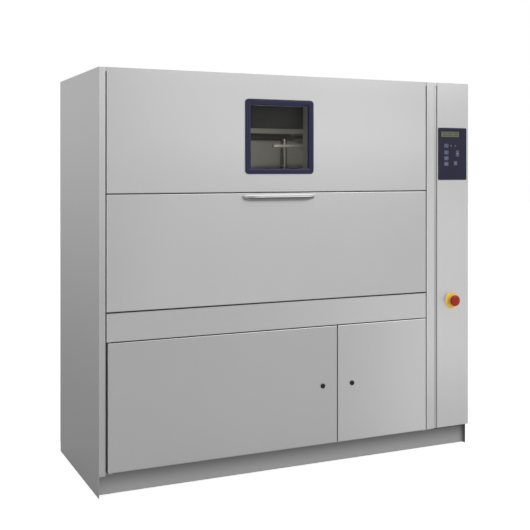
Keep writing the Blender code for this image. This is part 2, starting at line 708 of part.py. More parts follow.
def window():
    """Window: a rubber profile that grips the panel's edge, and the pane in its inner groove."""
    lip = 0.007
    tail = WINDOW_TAIL
    groove_depth = 0.008
    corner = 0.018
    rear_band = 0.004
    front = FRONT_Y - lip
    pane_front = FRONT_Y + SHEET / 2 - GLASS_THICKNESS / 2
    pane_back = pane_front + GLASS_THICKNESS
    rubber = upright_block(window_box(0), front, FRONT_Y - FIT)
    round_upright_corners(rubber, corner)
    web = upright_block(window_box(WINDOW_GRIP + FIT), FRONT_Y - lip / 2, FRONT_Y + SHEET + tail / 2)
    back = upright_block(window_box(rear_band), FRONT_Y + SHEET + FIT, FRONT_Y + SHEET + FIT + tail)
    join(rubber, web, back)
    sight = upright_block(window_box(WINDOW_BAND), front - OVERRUN, FRONT_Y + SHEET + tail + OVERRUN)
    groove = upright_block(window_box(WINDOW_BAND - groove_depth), pane_front, pane_back)
    named(cut(rubber, sight, groove), "window_gasket", "navy_rubber")
    pane = upright_block(window_box(WINDOW_BAND - groove_depth + FIT), pane_front + FIT, pane_back - FIT)
    named(pane, "window_glass", "clear_glass")


def round_upright_corners(piece, radius, segments=3):
    """Rounds the four corners that a front view of a block shows."""
    mesh = bmesh.new()
    mesh.from_mesh(piece.data)
    edges = [edge for edge in mesh.edges
             if abs((edge.verts[1].co - edge.verts[0].co).normalized().y) > UPRIGHT_COSINE]
    bmesh.ops.bevel(mesh, geom=edges, offset=radius, segments=segments, profile=0.5,
                    affect="EDGES", material=-1)
    mesh.to_mesh(piece.data)
    mesh.free()
    return piece


def arc(centre, radius, start, end, steps):
    """Points on an arc between two angles in degrees."""
    angles = [math.radians(start + (end - start) * step / steps) for step in range(steps + 1)]
    return [(centre[0] + radius * math.cos(angle),
             centre[1] + radius * math.sin(angle)) for angle in angles]


def stacked(middle, levels):
    """A solid through level rectangles about one middle, each given by its height and two half sizes."""
    mesh = bmesh.new()
    rings = []
    for height, half_x, half_y in levels:
        corners = ((-half_x, -half_y), (half_x, -half_y), (half_x, half_y), (-half_x, half_y))
        rings.append([mesh.verts.new((middle[0] + x, middle[1] + y, height)) for x, y in corners])
    for ring, following in zip(rings, rings[1:]):
        for side in range(4):
            nearby = (side + 1) % 4
            mesh.faces.new((ring[side], ring[nearby], following[nearby], following[side]))
    mesh.faces.new(rings[0])
    mesh.faces.new(rings[-1])
    return as_object(mesh)


def tube(points, radius, wall, bend, sides=12):
    """An open tube along a route with rounded corners."""
    points = [Vector(point) for point in points]
    first = points[0] + (points[0] - points[1]).normalized() * OVERRUN
    last = points[-1] + (points[-1] - points[-2]).normalized() * OVERRUN
    bore = pipe([first, *points[1:-1], last], radius - wall, bend, sides)
    return cut(pipe(points, radius, bend, sides), bore)


def front_frame():
    """Welded frame behind the front: two apertures, hinge arms, pivot tabs and slots for the stays."""
    upright = 0.058
    arm_bore_sides = 16
    slot_low, slot_high = 0.178, 0.217
    tab_half, tab_reach, tab_thickness, tab_drop = 0.012, 0.007, 0.003, 0.0005
    middle_y = (FRAME_FRONT + FRAME_BACK) / 2
    front, back = FRAME_FRONT - OVERRUN, FRAME_BACK + OVERRUN
    frame = block((INNER_LEFT, FRAME_FRONT, FRAME_BASE), (FRAME_RIGHT, FRAME_BACK, FRAME_TOP))
    service = block((INNER_LEFT + upright, front, FRAME_BASE + FRAME_FOOT),
                    (FRAME_RIGHT - upright, back, SILL_BOTTOM))
    load = block((LOAD_LEFT - SEAL_REACH, front, LOAD_BOTTOM - SEAL_REACH),
                 (LOAD_RIGHT + SEAL_REACH, back, LOAD_TOP + SEAL_REACH))
    slots = [block((left - STAY_CLEARANCE, front, HINGE_Z + slot_low),
                   (left + STAY_THICKNESS + STAY_CLEARANCE, back, HINGE_Z + slot_high)) for left in STAYS_X]
    cut(frame, service, load, *slots)
    welded, bores = [], []
    for x in HINGE_ARMS_X:
        outline = arc((HINGE_Y, HINGE_Z), ARM_HALF, 90, 270, 10)
        outline += [(middle_y, HINGE_Z - ARM_HALF), (middle_y, HINGE_Z + ARM_HALF)]
        welded.append(prism(outline, 0, x - ARM_WIDTH / 2, x + ARM_WIDTH / 2))
        bores.append(rod((x - ARM_WIDTH, HINGE_Y, HINGE_Z), (x + ARM_WIDTH, HINGE_Y, HINGE_Z),
                         bore_radius(SHAFT_RADIUS, arm_bore_sides), arm_bore_sides))
    tab_top = SKIRT_HEIGHT - tab_drop
    for x in PIVOTS_X:
        welded.append(block((x - tab_half, PIVOT_Y - tab_reach, tab_top - tab_thickness),
                            (x + tab_half, middle_y, tab_top)))
        bores.append(rod((x, PIVOT_Y, tab_top - OVERRUN), (x, PIVOT_Y, tab_top + OVERRUN),
                         bore_radius(PIVOT_RADIUS, PIVOT_SIDES), PIVOT_SIDES))
    named(cut(join(frame, *welded), *bores), "front_frame", "frame_steel")


def door_seal():
    """Rubber profile around the loading opening, held between the frame and the chamber."""
    rings = []
    for reach, radius, overrun in ((SEAL_INSET + SEAL_WIDTH, SEAL_RADIUS, 0),
                                   (SEAL_INSET, SEAL_RADIUS - SEAL_WIDTH, OVERRUN)):
        ring = block((LOAD_LEFT - reach, FRAME_FRONT - overrun, LOAD_BOTTOM - reach),
                     (LOAD_RIGHT + reach, FRAME_BACK + overrun, LOAD_TOP + reach))
        rings.append(round_upright_corners(ring, radius))
    named(cut(*rings), "door_gasket", "black_rubber")


def loading_door():
    """Drop-down door: an outer tray, an inner tray, the shaft it swings on and two quadrant stays."""
    bottom_flange = 0.010
    shaft_end = 0.001
    liner_rise = 0.012
    axis = (DOOR_MID, HINGE_Y, HINGE_Z)
    skin_back = FRAME_FRONT - FIT - SHEET - FIT
    skin = folded_panel((DOOR_LEFT, FRONT_Y, DOOR_BOTTOM), (DOOR_RIGHT, skin_back, DOOR_TOP),
                        "front", ("left", "right", "bottom", "top"))
    low_flange = block((DOOR_LEFT + SHEET, FRONT_Y + bottom_flange, DOOR_BOTTOM - OVERRUN),
                       (DOOR_RIGHT - SHEET, skin_back + OVERRUN, DOOR_BOTTOM + SHEET + FIT))
    below_axis = block((DOOR_LEFT - OVERRUN, HINGE_Y, DOOR_BOTTOM - OVERRUN),
                       (DOOR_RIGHT + OVERRUN, skin_back + OVERRUN, HINGE_Z))
    heel = rod((DOOR_LEFT - OVERRUN - FIT, HINGE_Y, HINGE_Z),
               (DOOR_RIGHT + OVERRUN + FIT, HINGE_Y, HINGE_Z),
               HINGE_RISE, 32)
    notches = [block((x - ARM_WIDTH / 2 - ARM_ROOM, FRONT_Y + SHEET, DOOR_BOTTOM - OVERRUN),
                     (x + ARM_WIDTH / 2 + ARM_ROOM, HINGE_Y,
                      DOOR_BOTTOM + SHEET + FIT)) for x in HINGE_ARMS_X]
    shaft_hole = rod((DOOR_LEFT - OVERRUN, HINGE_Y, HINGE_Z), (DOOR_RIGHT + OVERRUN, HINGE_Y, HINGE_Z),
                     bore_radius(SHAFT_RADIUS, SHAFT_SIDES), SHAFT_SIDES)
    cut(skin, low_flange, cut(below_axis, heel), *notches, shaft_hole)
    named(skin, "loading_door_skin", "brushed_steel", axis)

    liner_low = (DOOR_LEFT + LINER_SIDE_GAP, FRONT_Y + SHEET + FIT, HINGE_Z + liner_rise)
    liner_high = (DOOR_RIGHT - LINER_SIDE_GAP, FRAME_FRONT - FIT, DOOR_TOP - FIT)
    liner = folded_panel(liner_low, liner_high, "back", ("left", "right", "bottom"))
    under_skin = block((DOOR_LEFT, FRONT_Y, DOOR_TOP - SHEET - FIT),
                       (DOOR_RIGHT, skin_back + FIT, DOOR_TOP + OVERRUN))
    named(cut(liner, under_skin), "loading_door_liner", "brushed_steel", axis)

    shaft = rod((DOOR_LEFT - shaft_end, HINGE_Y, HINGE_Z), (DOOR_RIGHT + shaft_end, HINGE_Y, HINGE_Z),
                SHAFT_RADIUS, SHAFT_SIDES)
    named(shaft, "door_hinge_shaft", "satin_steel", axis)
    for left, name in zip(STAYS_X, ("left_door_stay", "right_door_stay")):
        named(quadrant_stay(left), name, "satin_steel", axis)


def quadrant_stay(left):
    """Quarter ring about the hinge axis: a foot inside the door and a stop lug behind the frame."""
    foot_front, foot_back = -0.008, 0.029
    foot_low, foot_high = 0.150, 0.240
    lug_low, lug_high = 0.170, 0.230
    lug_degrees, lug_gap = 6, 0.0005
    arc_steps = 18
    top_degrees = 88
    centre = (HINGE_Y, HINGE_Z)
    reach_back = FRAME_BACK + lug_gap - HINGE_Y
    lug_end = -math.degrees(math.asin(reach_back / lug_low))
    lug_start = lug_end - lug_degrees
    inner, outer = STAY_RADIUS - STAY_WIDTH / 2, STAY_RADIUS + STAY_WIDTH / 2
    ring = arc(centre, outer, lug_start + lug_degrees / 2, top_degrees, arc_steps)
    ring += arc(centre, inner, top_degrees, lug_start + lug_degrees / 2, arc_steps)
    lug = arc(centre, lug_high, lug_start, lug_end, 2) + arc(centre, lug_low, lug_end, lug_start, 2)
    stay = prism(ring, 0, left, left + STAY_THICKNESS)
    foot = block((left, HINGE_Y + foot_front, HINGE_Z + foot_low),
                 (left + STAY_THICKNESS, HINGE_Y + foot_back, HINGE_Z + foot_high))
    return join(stay, foot, prism(lug, 0, left, left + STAY_THICKNESS))


def door_handle():
    """Pressed handle on the door's top edge: a base on the door, a shelf and a lip turned down."""
    thickness = 0.003
    base_width, lip_width = 0.400, 0.368
    base_height, lip_height, head_room = 0.060, 0.020, 0.002
    fold = 0.004
    top = DOOR_TOP - head_room
    base_y = FRONT_Y - FIT - thickness / 2
    lip_y = FRONT_Y - HANDLE_REACH + thickness / 2
    line = [(base_y, top - base_height), (base_y, top - thickness / 2), (lip_y, top - thickness / 2),
            (lip_y, top - lip_height)]
    handle = bent_sheet(line, 0, DOOR_MID - base_width / 2, DOOR_MID + base_width / 2, thickness, fold, 3)
    corners = []
    for way in (-1, 1):
        outline = [(DOOR_MID + way * lip_width / 2, lip_y - OVERRUN),
                   (DOOR_MID + way * (base_width / 2 + OVERRUN), lip_y - OVERRUN),
                   (DOOR_MID + way * (base_width / 2 + OVERRUN), base_y - thickness),
                   (DOOR_MID + way * base_width / 2, base_y - thickness)]
        corners.append(prism(outline, 2, top - base_height, top + OVERRUN))
    named(cut(handle, *corners), "door_handle", "satin_steel", (DOOR_MID, HINGE_Y, HINGE_Z))


def service_doors():
    """Two hinged doors with a pin above and below, and a quarter-turn lock near the split."""
    pin_reach = 0.0065
    sides = (("left", SERVICE_LEFT, SPLIT_LEFT, PIVOTS_X[0], SPLIT_MID - LOCK_INSET),
             ("right", SPLIT_RIGHT, DOOR_RIGHT, PIVOTS_X[1], SPLIT_MID + LOCK_INSET))
    for side, left, right, pivot_x, lock_x in sides:
        door = folded_panel((left, FRONT_Y, SKIRT_HEIGHT),
                            (right, FRONT_Y + SERVICE_THICKNESS, SERVICE_TOP),
                            "front", ("left", "right", "bottom", "top"))
        pins = [rod((pivot_x, PIVOT_Y, SKIRT_HEIGHT - pin_reach),
                    (pivot_x, PIVOT_Y, SKIRT_HEIGHT + SHEET / 2),
                    PIVOT_RADIUS, PIVOT_SIDES),
                rod((pivot_x, PIVOT_Y, SERVICE_TOP - SHEET / 2),
                    (pivot_x, PIVOT_Y, SERVICE_TOP + pin_reach),
                    PIVOT_RADIUS, PIVOT_SIDES)]
        hole = rod((lock_x, FRONT_Y - OVERRUN, LOCK_Z), (lock_x, FRONT_Y + OVERRUN, LOCK_Z),
                   bore_radius(BARREL_RADIUS, LOCK_SIDES), LOCK_SIDES)
        named(cut(join(door, *pins), hole), f"{side}_service_door", "brushed_steel",
              (pivot_x, PIVOT_Y, SKIRT_HEIGHT))
        named(quarter_turn_lock(lock_x), f"{side}_door_lock", "black_plastic", (lock_x, FRONT_Y, LOCK_Z))


def quarter_turn_lock(x):
    """Lock: bezel with a key slot, barrel through the door and a cam that turns behind the mullion."""
    bezel_radius, bezel_depth, bezel_edge = 0.0125, 0.004, 0.001
    slot_width, slot_height, slot_depth = 0.003, 0.011, 0.0025
    cam_half, cam_reach, cam_thickness = 0.008, 0.042, 0.003
    barrel_end = MULLION_BACK + FIT + cam_thickness
    profile = [(bezel_radius - bezel_edge, 0), (bezel_radius, bezel_edge), (bezel_radius, bezel_depth),
               (BARREL_RADIUS, bezel_depth), (BARREL_RADIUS, bezel_depth + FIT + barrel_end - FRONT_Y)]
    front = FRONT_Y - FIT - bezel_depth
    lock = turned(profile, (x, front, LOCK_Z), (0, 1, 0), LOCK_SIDES)
    cam = block((x - cam_half, barrel_end - cam_thickness, LOCK_Z - cam_reach),
                (x + cam_half, barrel_end, LOCK_Z))
    slot = block((x - slot_width / 2, front - OVERRUN, LOCK_Z - slot_height / 2),
                 (x + slot_width / 2, front + slot_depth, LOCK_Z + slot_height / 2))
    return cut(join(lock, cam), slot)


def service_mullion():
    """Upright between the service doors: a strip for the lock cams and a web that divides the bay."""
    plate = block((SPLIT_MID - MULLION_HALF, MULLION_BACK - MULLION_SHEET, FRAME_BASE + FRAME_FOOT + FIT),
                  (SPLIT_MID + MULLION_HALF, MULLION_BACK, SILL_BOTTOM - FIT))
    web = block((SPLIT_MID - MULLION_SHEET / 2, MULLION_BACK - MULLION_SHEET / 2,
                 FRAME_BASE + FRAME_FOOT + FIT),
                (SPLIT_MID + MULLION_SHEET / 2, POST_FRONT, SILL_BOTTOM - FIT))
    foot = block((SPLIT_MID - MULLION_SHEET / 2, FRAME_BACK + FIT, BASE_TOP + FIT),
                 (SPLIT_MID + MULLION_SHEET / 2, POST_FRONT, SILL_BOTTOM - FIT - MULLION_SHEET))
    named(join(plate, web, foot), "service_mullion", "frame_steel")


def chamber_outline(inset):
    """Section across the chamber: coved corners, and a floor that falls from both sides to the sump."""
    left, right = CHAMBER_LEFT + inset, CHAMBER_RIGHT - inset
    top, floor = CHAMBER_TOP - inset, FLOOR_Z + inset
    flat = FLOOR_FLAT_WIDTH / 2
    corners = [(left, floor + FLOOR_RISE), (DOOR_MID - flat, floor), (DOOR_MID + flat, floor),
               (right, floor + FLOOR_RISE), (right, top), (left, top)]
    return rounded(corners, COVE - inset, 3)


def wash_chamber():
    """Chamber with its loading opening, window tunnel, rack rails, pipe holes and exhaust spigot."""
    rail_reach = 0.050
    lintel = 0.010
    spigot_wall = 0.002
    mid = DOOR_MID
    shell = prism(chamber_outline(0), 1, CHAMBER_FRONT, CHAMBER_BACK)
    inside = prism(chamber_outline(SHEET), 1, CHAMBER_FRONT + SHEET, CHAMBER_BACK - SHEET)
    tunnel = upright_block(window_box(WINDOW_BAND - SHEET), TUNNEL_FRONT, CHAMBER_FRONT + SHEET / 2)
    low, high = window_box(WINDOW_BAND - SHEET)
    upstand = block((low.x, CHAMBER_FRONT, CHAMBER_TOP - COVE), (high.x, CHAMBER_FRONT + SHEET, high.y))
    spigot = rod((SPIGOT_X, SPIGOT_Y, CHAMBER_TOP - SHEET / 2), (SPIGOT_X, SPIGOT_Y, TOP_Z + SPIGOT_REACH),
                 SPIGOT_RADIUS, SPIGOT_SIDES)
    join(shell, upstand, tunnel, spigot)
    low, high = window_box(WINDOW_BAND)
    cutters = [
        inside,
        upright_block((low, high), TUNNEL_FRONT - OVERRUN, CHAMBER_FRONT),
        block((low.x, CHAMBER_FRONT - OVERRUN, low.y),
              (high.x, CHAMBER_FRONT + OVERRUN, CHAMBER_TOP - lintel)),
        block((LOAD_LEFT, CHAMBER_FRONT - OVERRUN, LOAD_BOTTOM),
              (LOAD_RIGHT, CHAMBER_FRONT + OVERRUN, LOAD_TOP)),
        block((mid - SUMP_OPENING_WIDTH / 2, CHAMBER_MID_Y - SUMP_OPENING_DEPTH / 2, FLOOR_Z - OVERRUN),
              (mid + SUMP_OPENING_WIDTH / 2, CHAMBER_MID_Y + SUMP_OPENING_DEPTH / 2, FLOOR_Z + OVERRUN)),
        rod((SPIGOT_X, SPIGOT_Y, CHAMBER_TOP - OVERRUN),
            (SPIGOT_X, SPIGOT_Y, TOP_Z + SPIGOT_REACH + OVERRUN),
            SPIGOT_RADIUS - spigot_wall, SPIGOT_SIDES),
    ]
    for x, y, radius in floor_pipes():
        cutters.append(rod((x, y, FLOOR_Z - OVERRUN), (x, y, FLOOR_Z + FLOOR_RISE + OVERRUN),
                           bore_radius(radius, PIPE_SIDES), PIPE_SIDES))
    cut(shell, *cutters)
    wall_half = SHEET / 2
    rails = [block((CHAMBER_LEFT + wall_half, CHAMBER_FRONT + wall_half,
                    RAIL_TOP - RAIL_THICKNESS),
                   (CHAMBER_LEFT + rail_reach, CHAMBER_BACK - wall_half, RAIL_TOP)),
             block((CHAMBER_RIGHT - rail_reach, CHAMBER_FRONT + wall_half,
                    RAIL_TOP - RAIL_THICKNESS),
                   (CHAMBER_RIGHT - wall_half, CHAMBER_BACK - wall_half, RAIL_TOP))]
    named(join(shell, *rails), "wash_chamber", "brushed_steel")


def floor_pipes():
    """Place and radius of each pipe that passes the chamber's floor."""
    branches = [(x, CHAMBER_MID_Y, BRANCH_RADIUS) for x in WASH_ARMS_X]
    return [*branches, (RISER_X, HEADER_Y, BRANCH_RADIUS), (FILL_X, FILL_Y, FILL_RADIUS)]


def sump():
    """Sump hung under the floor, with a strainer in its mouth and an immersion heater in its well."""
    rim, rim_thickness = 0.020, 0.003
    half_x, half_y = SUMP_OPENING_WIDTH / 2, SUMP_OPENING_DEPTH / 2
    well_x, well_y = WELL_WIDTH / 2, WELL_DEPTH / 2
    mid_x, mid_y = DOOR_MID, CHAMBER_MID_Y
    tank = stacked((mid_x, mid_y), [(WELL_BOTTOM, well_x, well_y), (WELL_TOP, well_x, well_y),
                                    (SUMP_TOP - rim_thickness / 2, half_x + SHEET, half_y + SHEET)])
    flange = block((mid_x - half_x - rim, mid_y - half_y - rim, SUMP_TOP - rim_thickness),
                   (mid_x + half_x + rim, mid_y + half_y + rim, SUMP_TOP))
    join(tank, flange)
    water = stacked((mid_x, mid_y), [(WELL_BOTTOM + SHEET, well_x - SHEET, well_y - SHEET),
                                     (WELL_TOP, well_x - SHEET, well_y - SHEET),
                                     (SUMP_TOP - rim_thickness, half_x, half_y),
                                     (SUMP_TOP + OVERRUN, half_x, half_y)])
    suction = rod((mid_x, mid_y, WELL_BOTTOM - OVERRUN), (mid_x, mid_y, WELL_BOTTOM + OVERRUN),
                  SUCTION_RADIUS - SHEET, PIPE_SIDES)
    outlet = rod((mid_x, mid_y + well_y - OVERRUN, DRAIN_Z), (mid_x, mid_y + well_y + OVERRUN, DRAIN_Z),
                 OUTLET_RADIUS - SHEET, STUB_SIDES)
    port = block((mid_x - well_x - OVERRUN, mid_y - HEATER_PORT / 2, DRAIN_Z - HEATER_PORT / 2),
                 (mid_x - well_x + OVERRUN, mid_y + HEATER_PORT / 2, DRAIN_Z + HEATER_PORT / 2))
    named(cut(tank, water, suction, outlet, port), "sump_tank", "brushed_steel")
    sump_filter(half_x, half_y)
    heating_element(mid_x - well_x)


def sump_filter(half_x, half_y):
    """Strainer plate on the floor with rows of slots and a basket below its middle."""
    overlap, thickness = 0.008, 0.002
    slot_width, slot_length, slot_pitch, slot_count = 0.012, 0.120, 0.050, 4
    basket_radius, basket_wall, basket_depth, basket_sides = 0.070, 0.002, 0.070, 16
    hole_radius, hole_count, first_hole = 0.008, 8, math.radians(11.25)
    low_z = FLOOR_TOP + FIT
    mid_x, mid_y = DOOR_MID, CHAMBER_MID_Y
    plate = block((mid_x - half_x - overlap, mid_y - half_y - overlap, low_z),
                  (mid_x + half_x + overlap, mid_y + half_y + overlap, low_z + thickness))
    join(plate, rod((mid_x, mid_y, low_z - basket_depth), (mid_x, mid_y, low_z + thickness / 2),
                    basket_radius, basket_sides))
    bore = basket_radius - basket_wall
    cutters = [rod((mid_x, mid_y, low_z - basket_depth + basket_wall), (mid_x, mid_y, low_z + OVERRUN),
                   bore, basket_sides)]
    for way in (-1, 1):
        for index in range(slot_count):
            x = mid_x + way * (basket_radius + slot_width + index * slot_pitch / 2)
            cutters.append(block((x - slot_width / 2, mid_y - slot_length / 2, low_z - OVERRUN),
                                 (x + slot_width / 2, mid_y + slot_length / 2, low_z + OVERRUN)))
    for index in range(hole_count):
        angle = first_hole + math.tau * index / hole_count
        way = Vector((math.cos(angle), math.sin(angle), 0))
        middle = Vector((mid_x, mid_y, low_z - basket_depth / 2))
        cutters.append(rod(middle + way * basket_radius / 2, middle + way * (basket_radius + OVERRUN),
                           hole_radius, 6))
    named(cut(plate, *cutters), "sump_filter", "satin_steel")


def heating_element(wall_x):
    """Immersion heater: two bent rods inside the well, a flange and a terminal box outside it."""
    flange_half, flange_thickness = 0.035, 0.005
    box_half, box_reach = 0.024, 0.045
    rod_radius, rod_reach, loop_half, loop_step, loop_bend = 0.0045, 0.205, 0.014, 0.012, 0.012
    right = wall_x - FIT
    left = right - flange_thickness
    heater = block((left, CHAMBER_MID_Y - flange_half, DRAIN_Z - flange_half),
                   (right, CHAMBER_MID_Y + flange_half, DRAIN_Z + flange_half))
    box = block((left - box_reach, CHAMBER_MID_Y - box_half, DRAIN_Z - box_half),
                (left + flange_thickness / 2, CHAMBER_MID_Y + box_half, DRAIN_Z + box_half))
    loops = []
    for z in (DRAIN_Z - loop_step, DRAIN_Z + loop_step):
        near, far = left + flange_thickness / 2, wall_x + rod_reach
        front, back = CHAMBER_MID_Y - loop_half, CHAMBER_MID_Y + loop_half
        loops.append(pipe([(near, front, z), (far, front, z), (far, back, z), (near, back, z)],
                          rod_radius, loop_bend, 8))
    named(join(heater, box, *loops), "heating_element", "satin_steel")


def drain_valve():
    """Drain: flange on the well, ball valve with its actuator, and the outlet stub at the rear."""
    flange_radius, flange_thickness = 0.034, 0.004
    body_radius, body_near, body_far = 0.032, 0.060, 0.130
    box_half, box_low, box_high = 0.028, 0.020, 0.085
    start = CHAMBER_MID_Y + WELL_DEPTH / 2 + FIT
    length = BACK_Y + REAR_REACH - start
    bore = OUTLET_RADIUS - SHEET
    profile = [(flange_radius, 0), (flange_radius, flange_thickness), (OUTLET_RADIUS, flange_thickness),
               (OUTLET_RADIUS, body_near), (body_radius, body_near), (body_radius, body_far),
               (OUTLET_RADIUS, body_far), (OUTLET_RADIUS, length)]
    valve = turned(profile, (DOOR_MID, start, DRAIN_Z), (0, 1, 0), STUB_SIDES)
    box = block((DOOR_MID - box_half, start + body_near + SHEET, DRAIN_Z + box_low),
                (DOOR_MID + box_half, start + body_far - SHEET, DRAIN_Z + box_high))
    passage = rod((DOOR_MID, start - OVERRUN, DRAIN_Z), (DOOR_MID, start + length + OVERRUN, DRAIN_Z),
                  bore, STUB_SIDES)
    named(cut(join(valve, box), passage), "drain_valve", "grey_plastic")


def pump():
    """Circulation pump: casing, finned motor on the cross tubes, and the rotor that turns in both."""
    casing_radius, casing_width, wall = 0.085, 0.060, 0.004
    neck_radius, neck_reach = 0.036, 0.025
    shaft_radius, shaft_sides = 0.009, 16
    core_radius, core_inset = 0.050, 0.050
    motor_radius, motor_bore, motor_sides = 0.078, 0.056, 20
    motor_length, end_wall = 0.330, 0.008
    fin_reach, fin_half, fin_count, fin_inset = 0.010, 0.002, 12, 0.020
    foot_half_x, foot_half_y, foot_height = 0.018, 0.075, 0.012
    leg_half_y = 0.030
    impeller_radius, impeller_inset, impeller_thickness = 0.066, 0.014, 0.005
    blade_height, blade_half, blade_near, blade_count = 0.022, 0.002, 0.014, 6
    fan_radius, fan_thickness, fan_gap = 0.050, 0.008, 0.012
    cowl_length, cowl_radius = 0.050, 0.074
    discharge_radius, discharge_top = HEADER_RADIUS, PUMP_OUTLET_Z
    hole = bore_radius(shaft_radius, shaft_sides)
    left, right = PUMP_X, PUMP_X + casing_width
    axis_y = CHAMBER_MID_Y

    profile = [(casing_radius, 0), (casing_radius, casing_width), (neck_radius, casing_width),
               (neck_radius, casing_width + neck_reach)]
    casing = turned(profile, (left, axis_y, PUMP_AXIS_Z), (1, 0, 0), 24)
    outlet_x, outlet_y = left + PUMP_OUTLET_X, axis_y + PUMP_OUTLET_Y
    solid = rod((outlet_x, outlet_y, PUMP_AXIS_Z + wall), (outlet_x, outlet_y, discharge_top),
                discharge_radius, PIPE_SIDES)
    passage = rod((outlet_x, outlet_y, PUMP_AXIS_Z + wall + wall),
                  (outlet_x, outlet_y, discharge_top + OVERRUN),
                  discharge_radius - wall, PIPE_SIDES)
    profile = [(hole, -OVERRUN), (hole, wall), (casing_radius - wall, wall),
               (casing_radius - wall, casing_width - wall), (SUCTION_RADIUS - SHEET, casing_width - wall),
               (SUCTION_RADIUS - SHEET, casing_width + neck_reach + OVERRUN)]
    cavity = turned(profile, (left, axis_y, PUMP_AXIS_Z), (1, 0, 0), 24)
    named(cut(join(casing, solid), cavity, passage), "pump_volute", "satin_steel")

    motor_right = left - FIT
    motor_left = motor_right - motor_length
    inner_left = motor_left + cowl_length
    motor = rod((motor_left, axis_y, PUMP_AXIS_Z), (motor_right, axis_y, PUMP_AXIS_Z), motor_radius,
                motor_sides)
    profile = [(cowl_radius, -OVERRUN), (cowl_radius, cowl_length), (hole, cowl_length),
               (hole, cowl_length + end_wall), (motor_bore, cowl_length + end_wall),
               (motor_bore, motor_length - end_wall), (hole, motor_length - end_wall),
               (hole, motor_length + OVERRUN)]
    room = turned(profile, (motor_left, axis_y, PUMP_AXIS_Z), (1, 0, 0), motor_sides)
    extras = []
    for index in range(fin_count):
        fin = block((inner_left + fin_inset, -fin_half, motor_radius - fin_reach),
                    (motor_right - fin_inset, fin_half, motor_radius + fin_reach))
        turn = Matrix.Rotation(math.tau * (index + 1 / 2) / fin_count, 4, "X")
        fin.data.transform(Matrix.Translation((0, axis_y, PUMP_AXIS_Z)) @ turn)
        extras.append(fin)
    for x in MOTOR_FEET_X:
        extras.append(block((x - foot_half_x, axis_y - foot_half_y, BASE_TOP + FIT),
                            (x + foot_half_x, axis_y + foot_half_y, BASE_TOP + FIT + foot_height)))
        extras.append(block((x - foot_half_x, axis_y - leg_half_y, BASE_TOP + foot_height / 2),
                            (x + foot_half_x, axis_y + leg_half_y, PUMP_AXIS_Z - motor_bore - fin_reach)))
    named(cut(join(motor, *extras), room), "pump_motor", "motor_paint")

    profile = [(shaft_radius, 0), (shaft_radius, fan_gap), (fan_radius, fan_gap),
               (fan_radius, fan_gap + fan_thickness), (shaft_radius, fan_gap + fan_thickness),
               (shaft_radius, cowl_length + core_inset), (core_radius, cowl_length + core_inset),
               (core_radius, motor_length - core_inset), (shaft_radius, motor_length - core_inset),
               (shaft_radius, motor_length + impeller_inset),
               (impeller_radius, motor_length + impeller_inset),
               (impeller_radius, motor_length + impeller_inset + impeller_thickness)]
    rotor = turned(profile, (motor_left + FIT, axis_y, PUMP_AXIS_Z), (1, 0, 0), shaft_sides)
    blades = []
    blade_left = motor_left + motor_length + impeller_inset
    for index in range(blade_count):
        blade = block((blade_left, -blade_half, blade_near),
                      (blade_left + blade_height, blade_half, impeller_radius - wall))
        turn = Matrix.Rotation(math.tau * index / blade_count, 4, "X")
        blade.data.transform(Matrix.Translation((0, axis_y, PUMP_AXIS_Z)) @ turn)
        blades.append(blade)
    named(join(rotor, *blades), "pump_rotor", "satin_steel", (PUMP_X, axis_y, PUMP_AXIS_Z))

    eye_x = right + neck_reach + FIT
    route = [(eye_x, axis_y, PUMP_AXIS_Z), (DOOR_MID, axis_y, PUMP_AXIS_Z),
             (DOOR_MID, axis_y, WELL_BOTTOM - FIT)]
    named(tube(route, SUCTION_RADIUS, SHEET, SUCTION_BEND), "suction_pipe", "satin_steel")


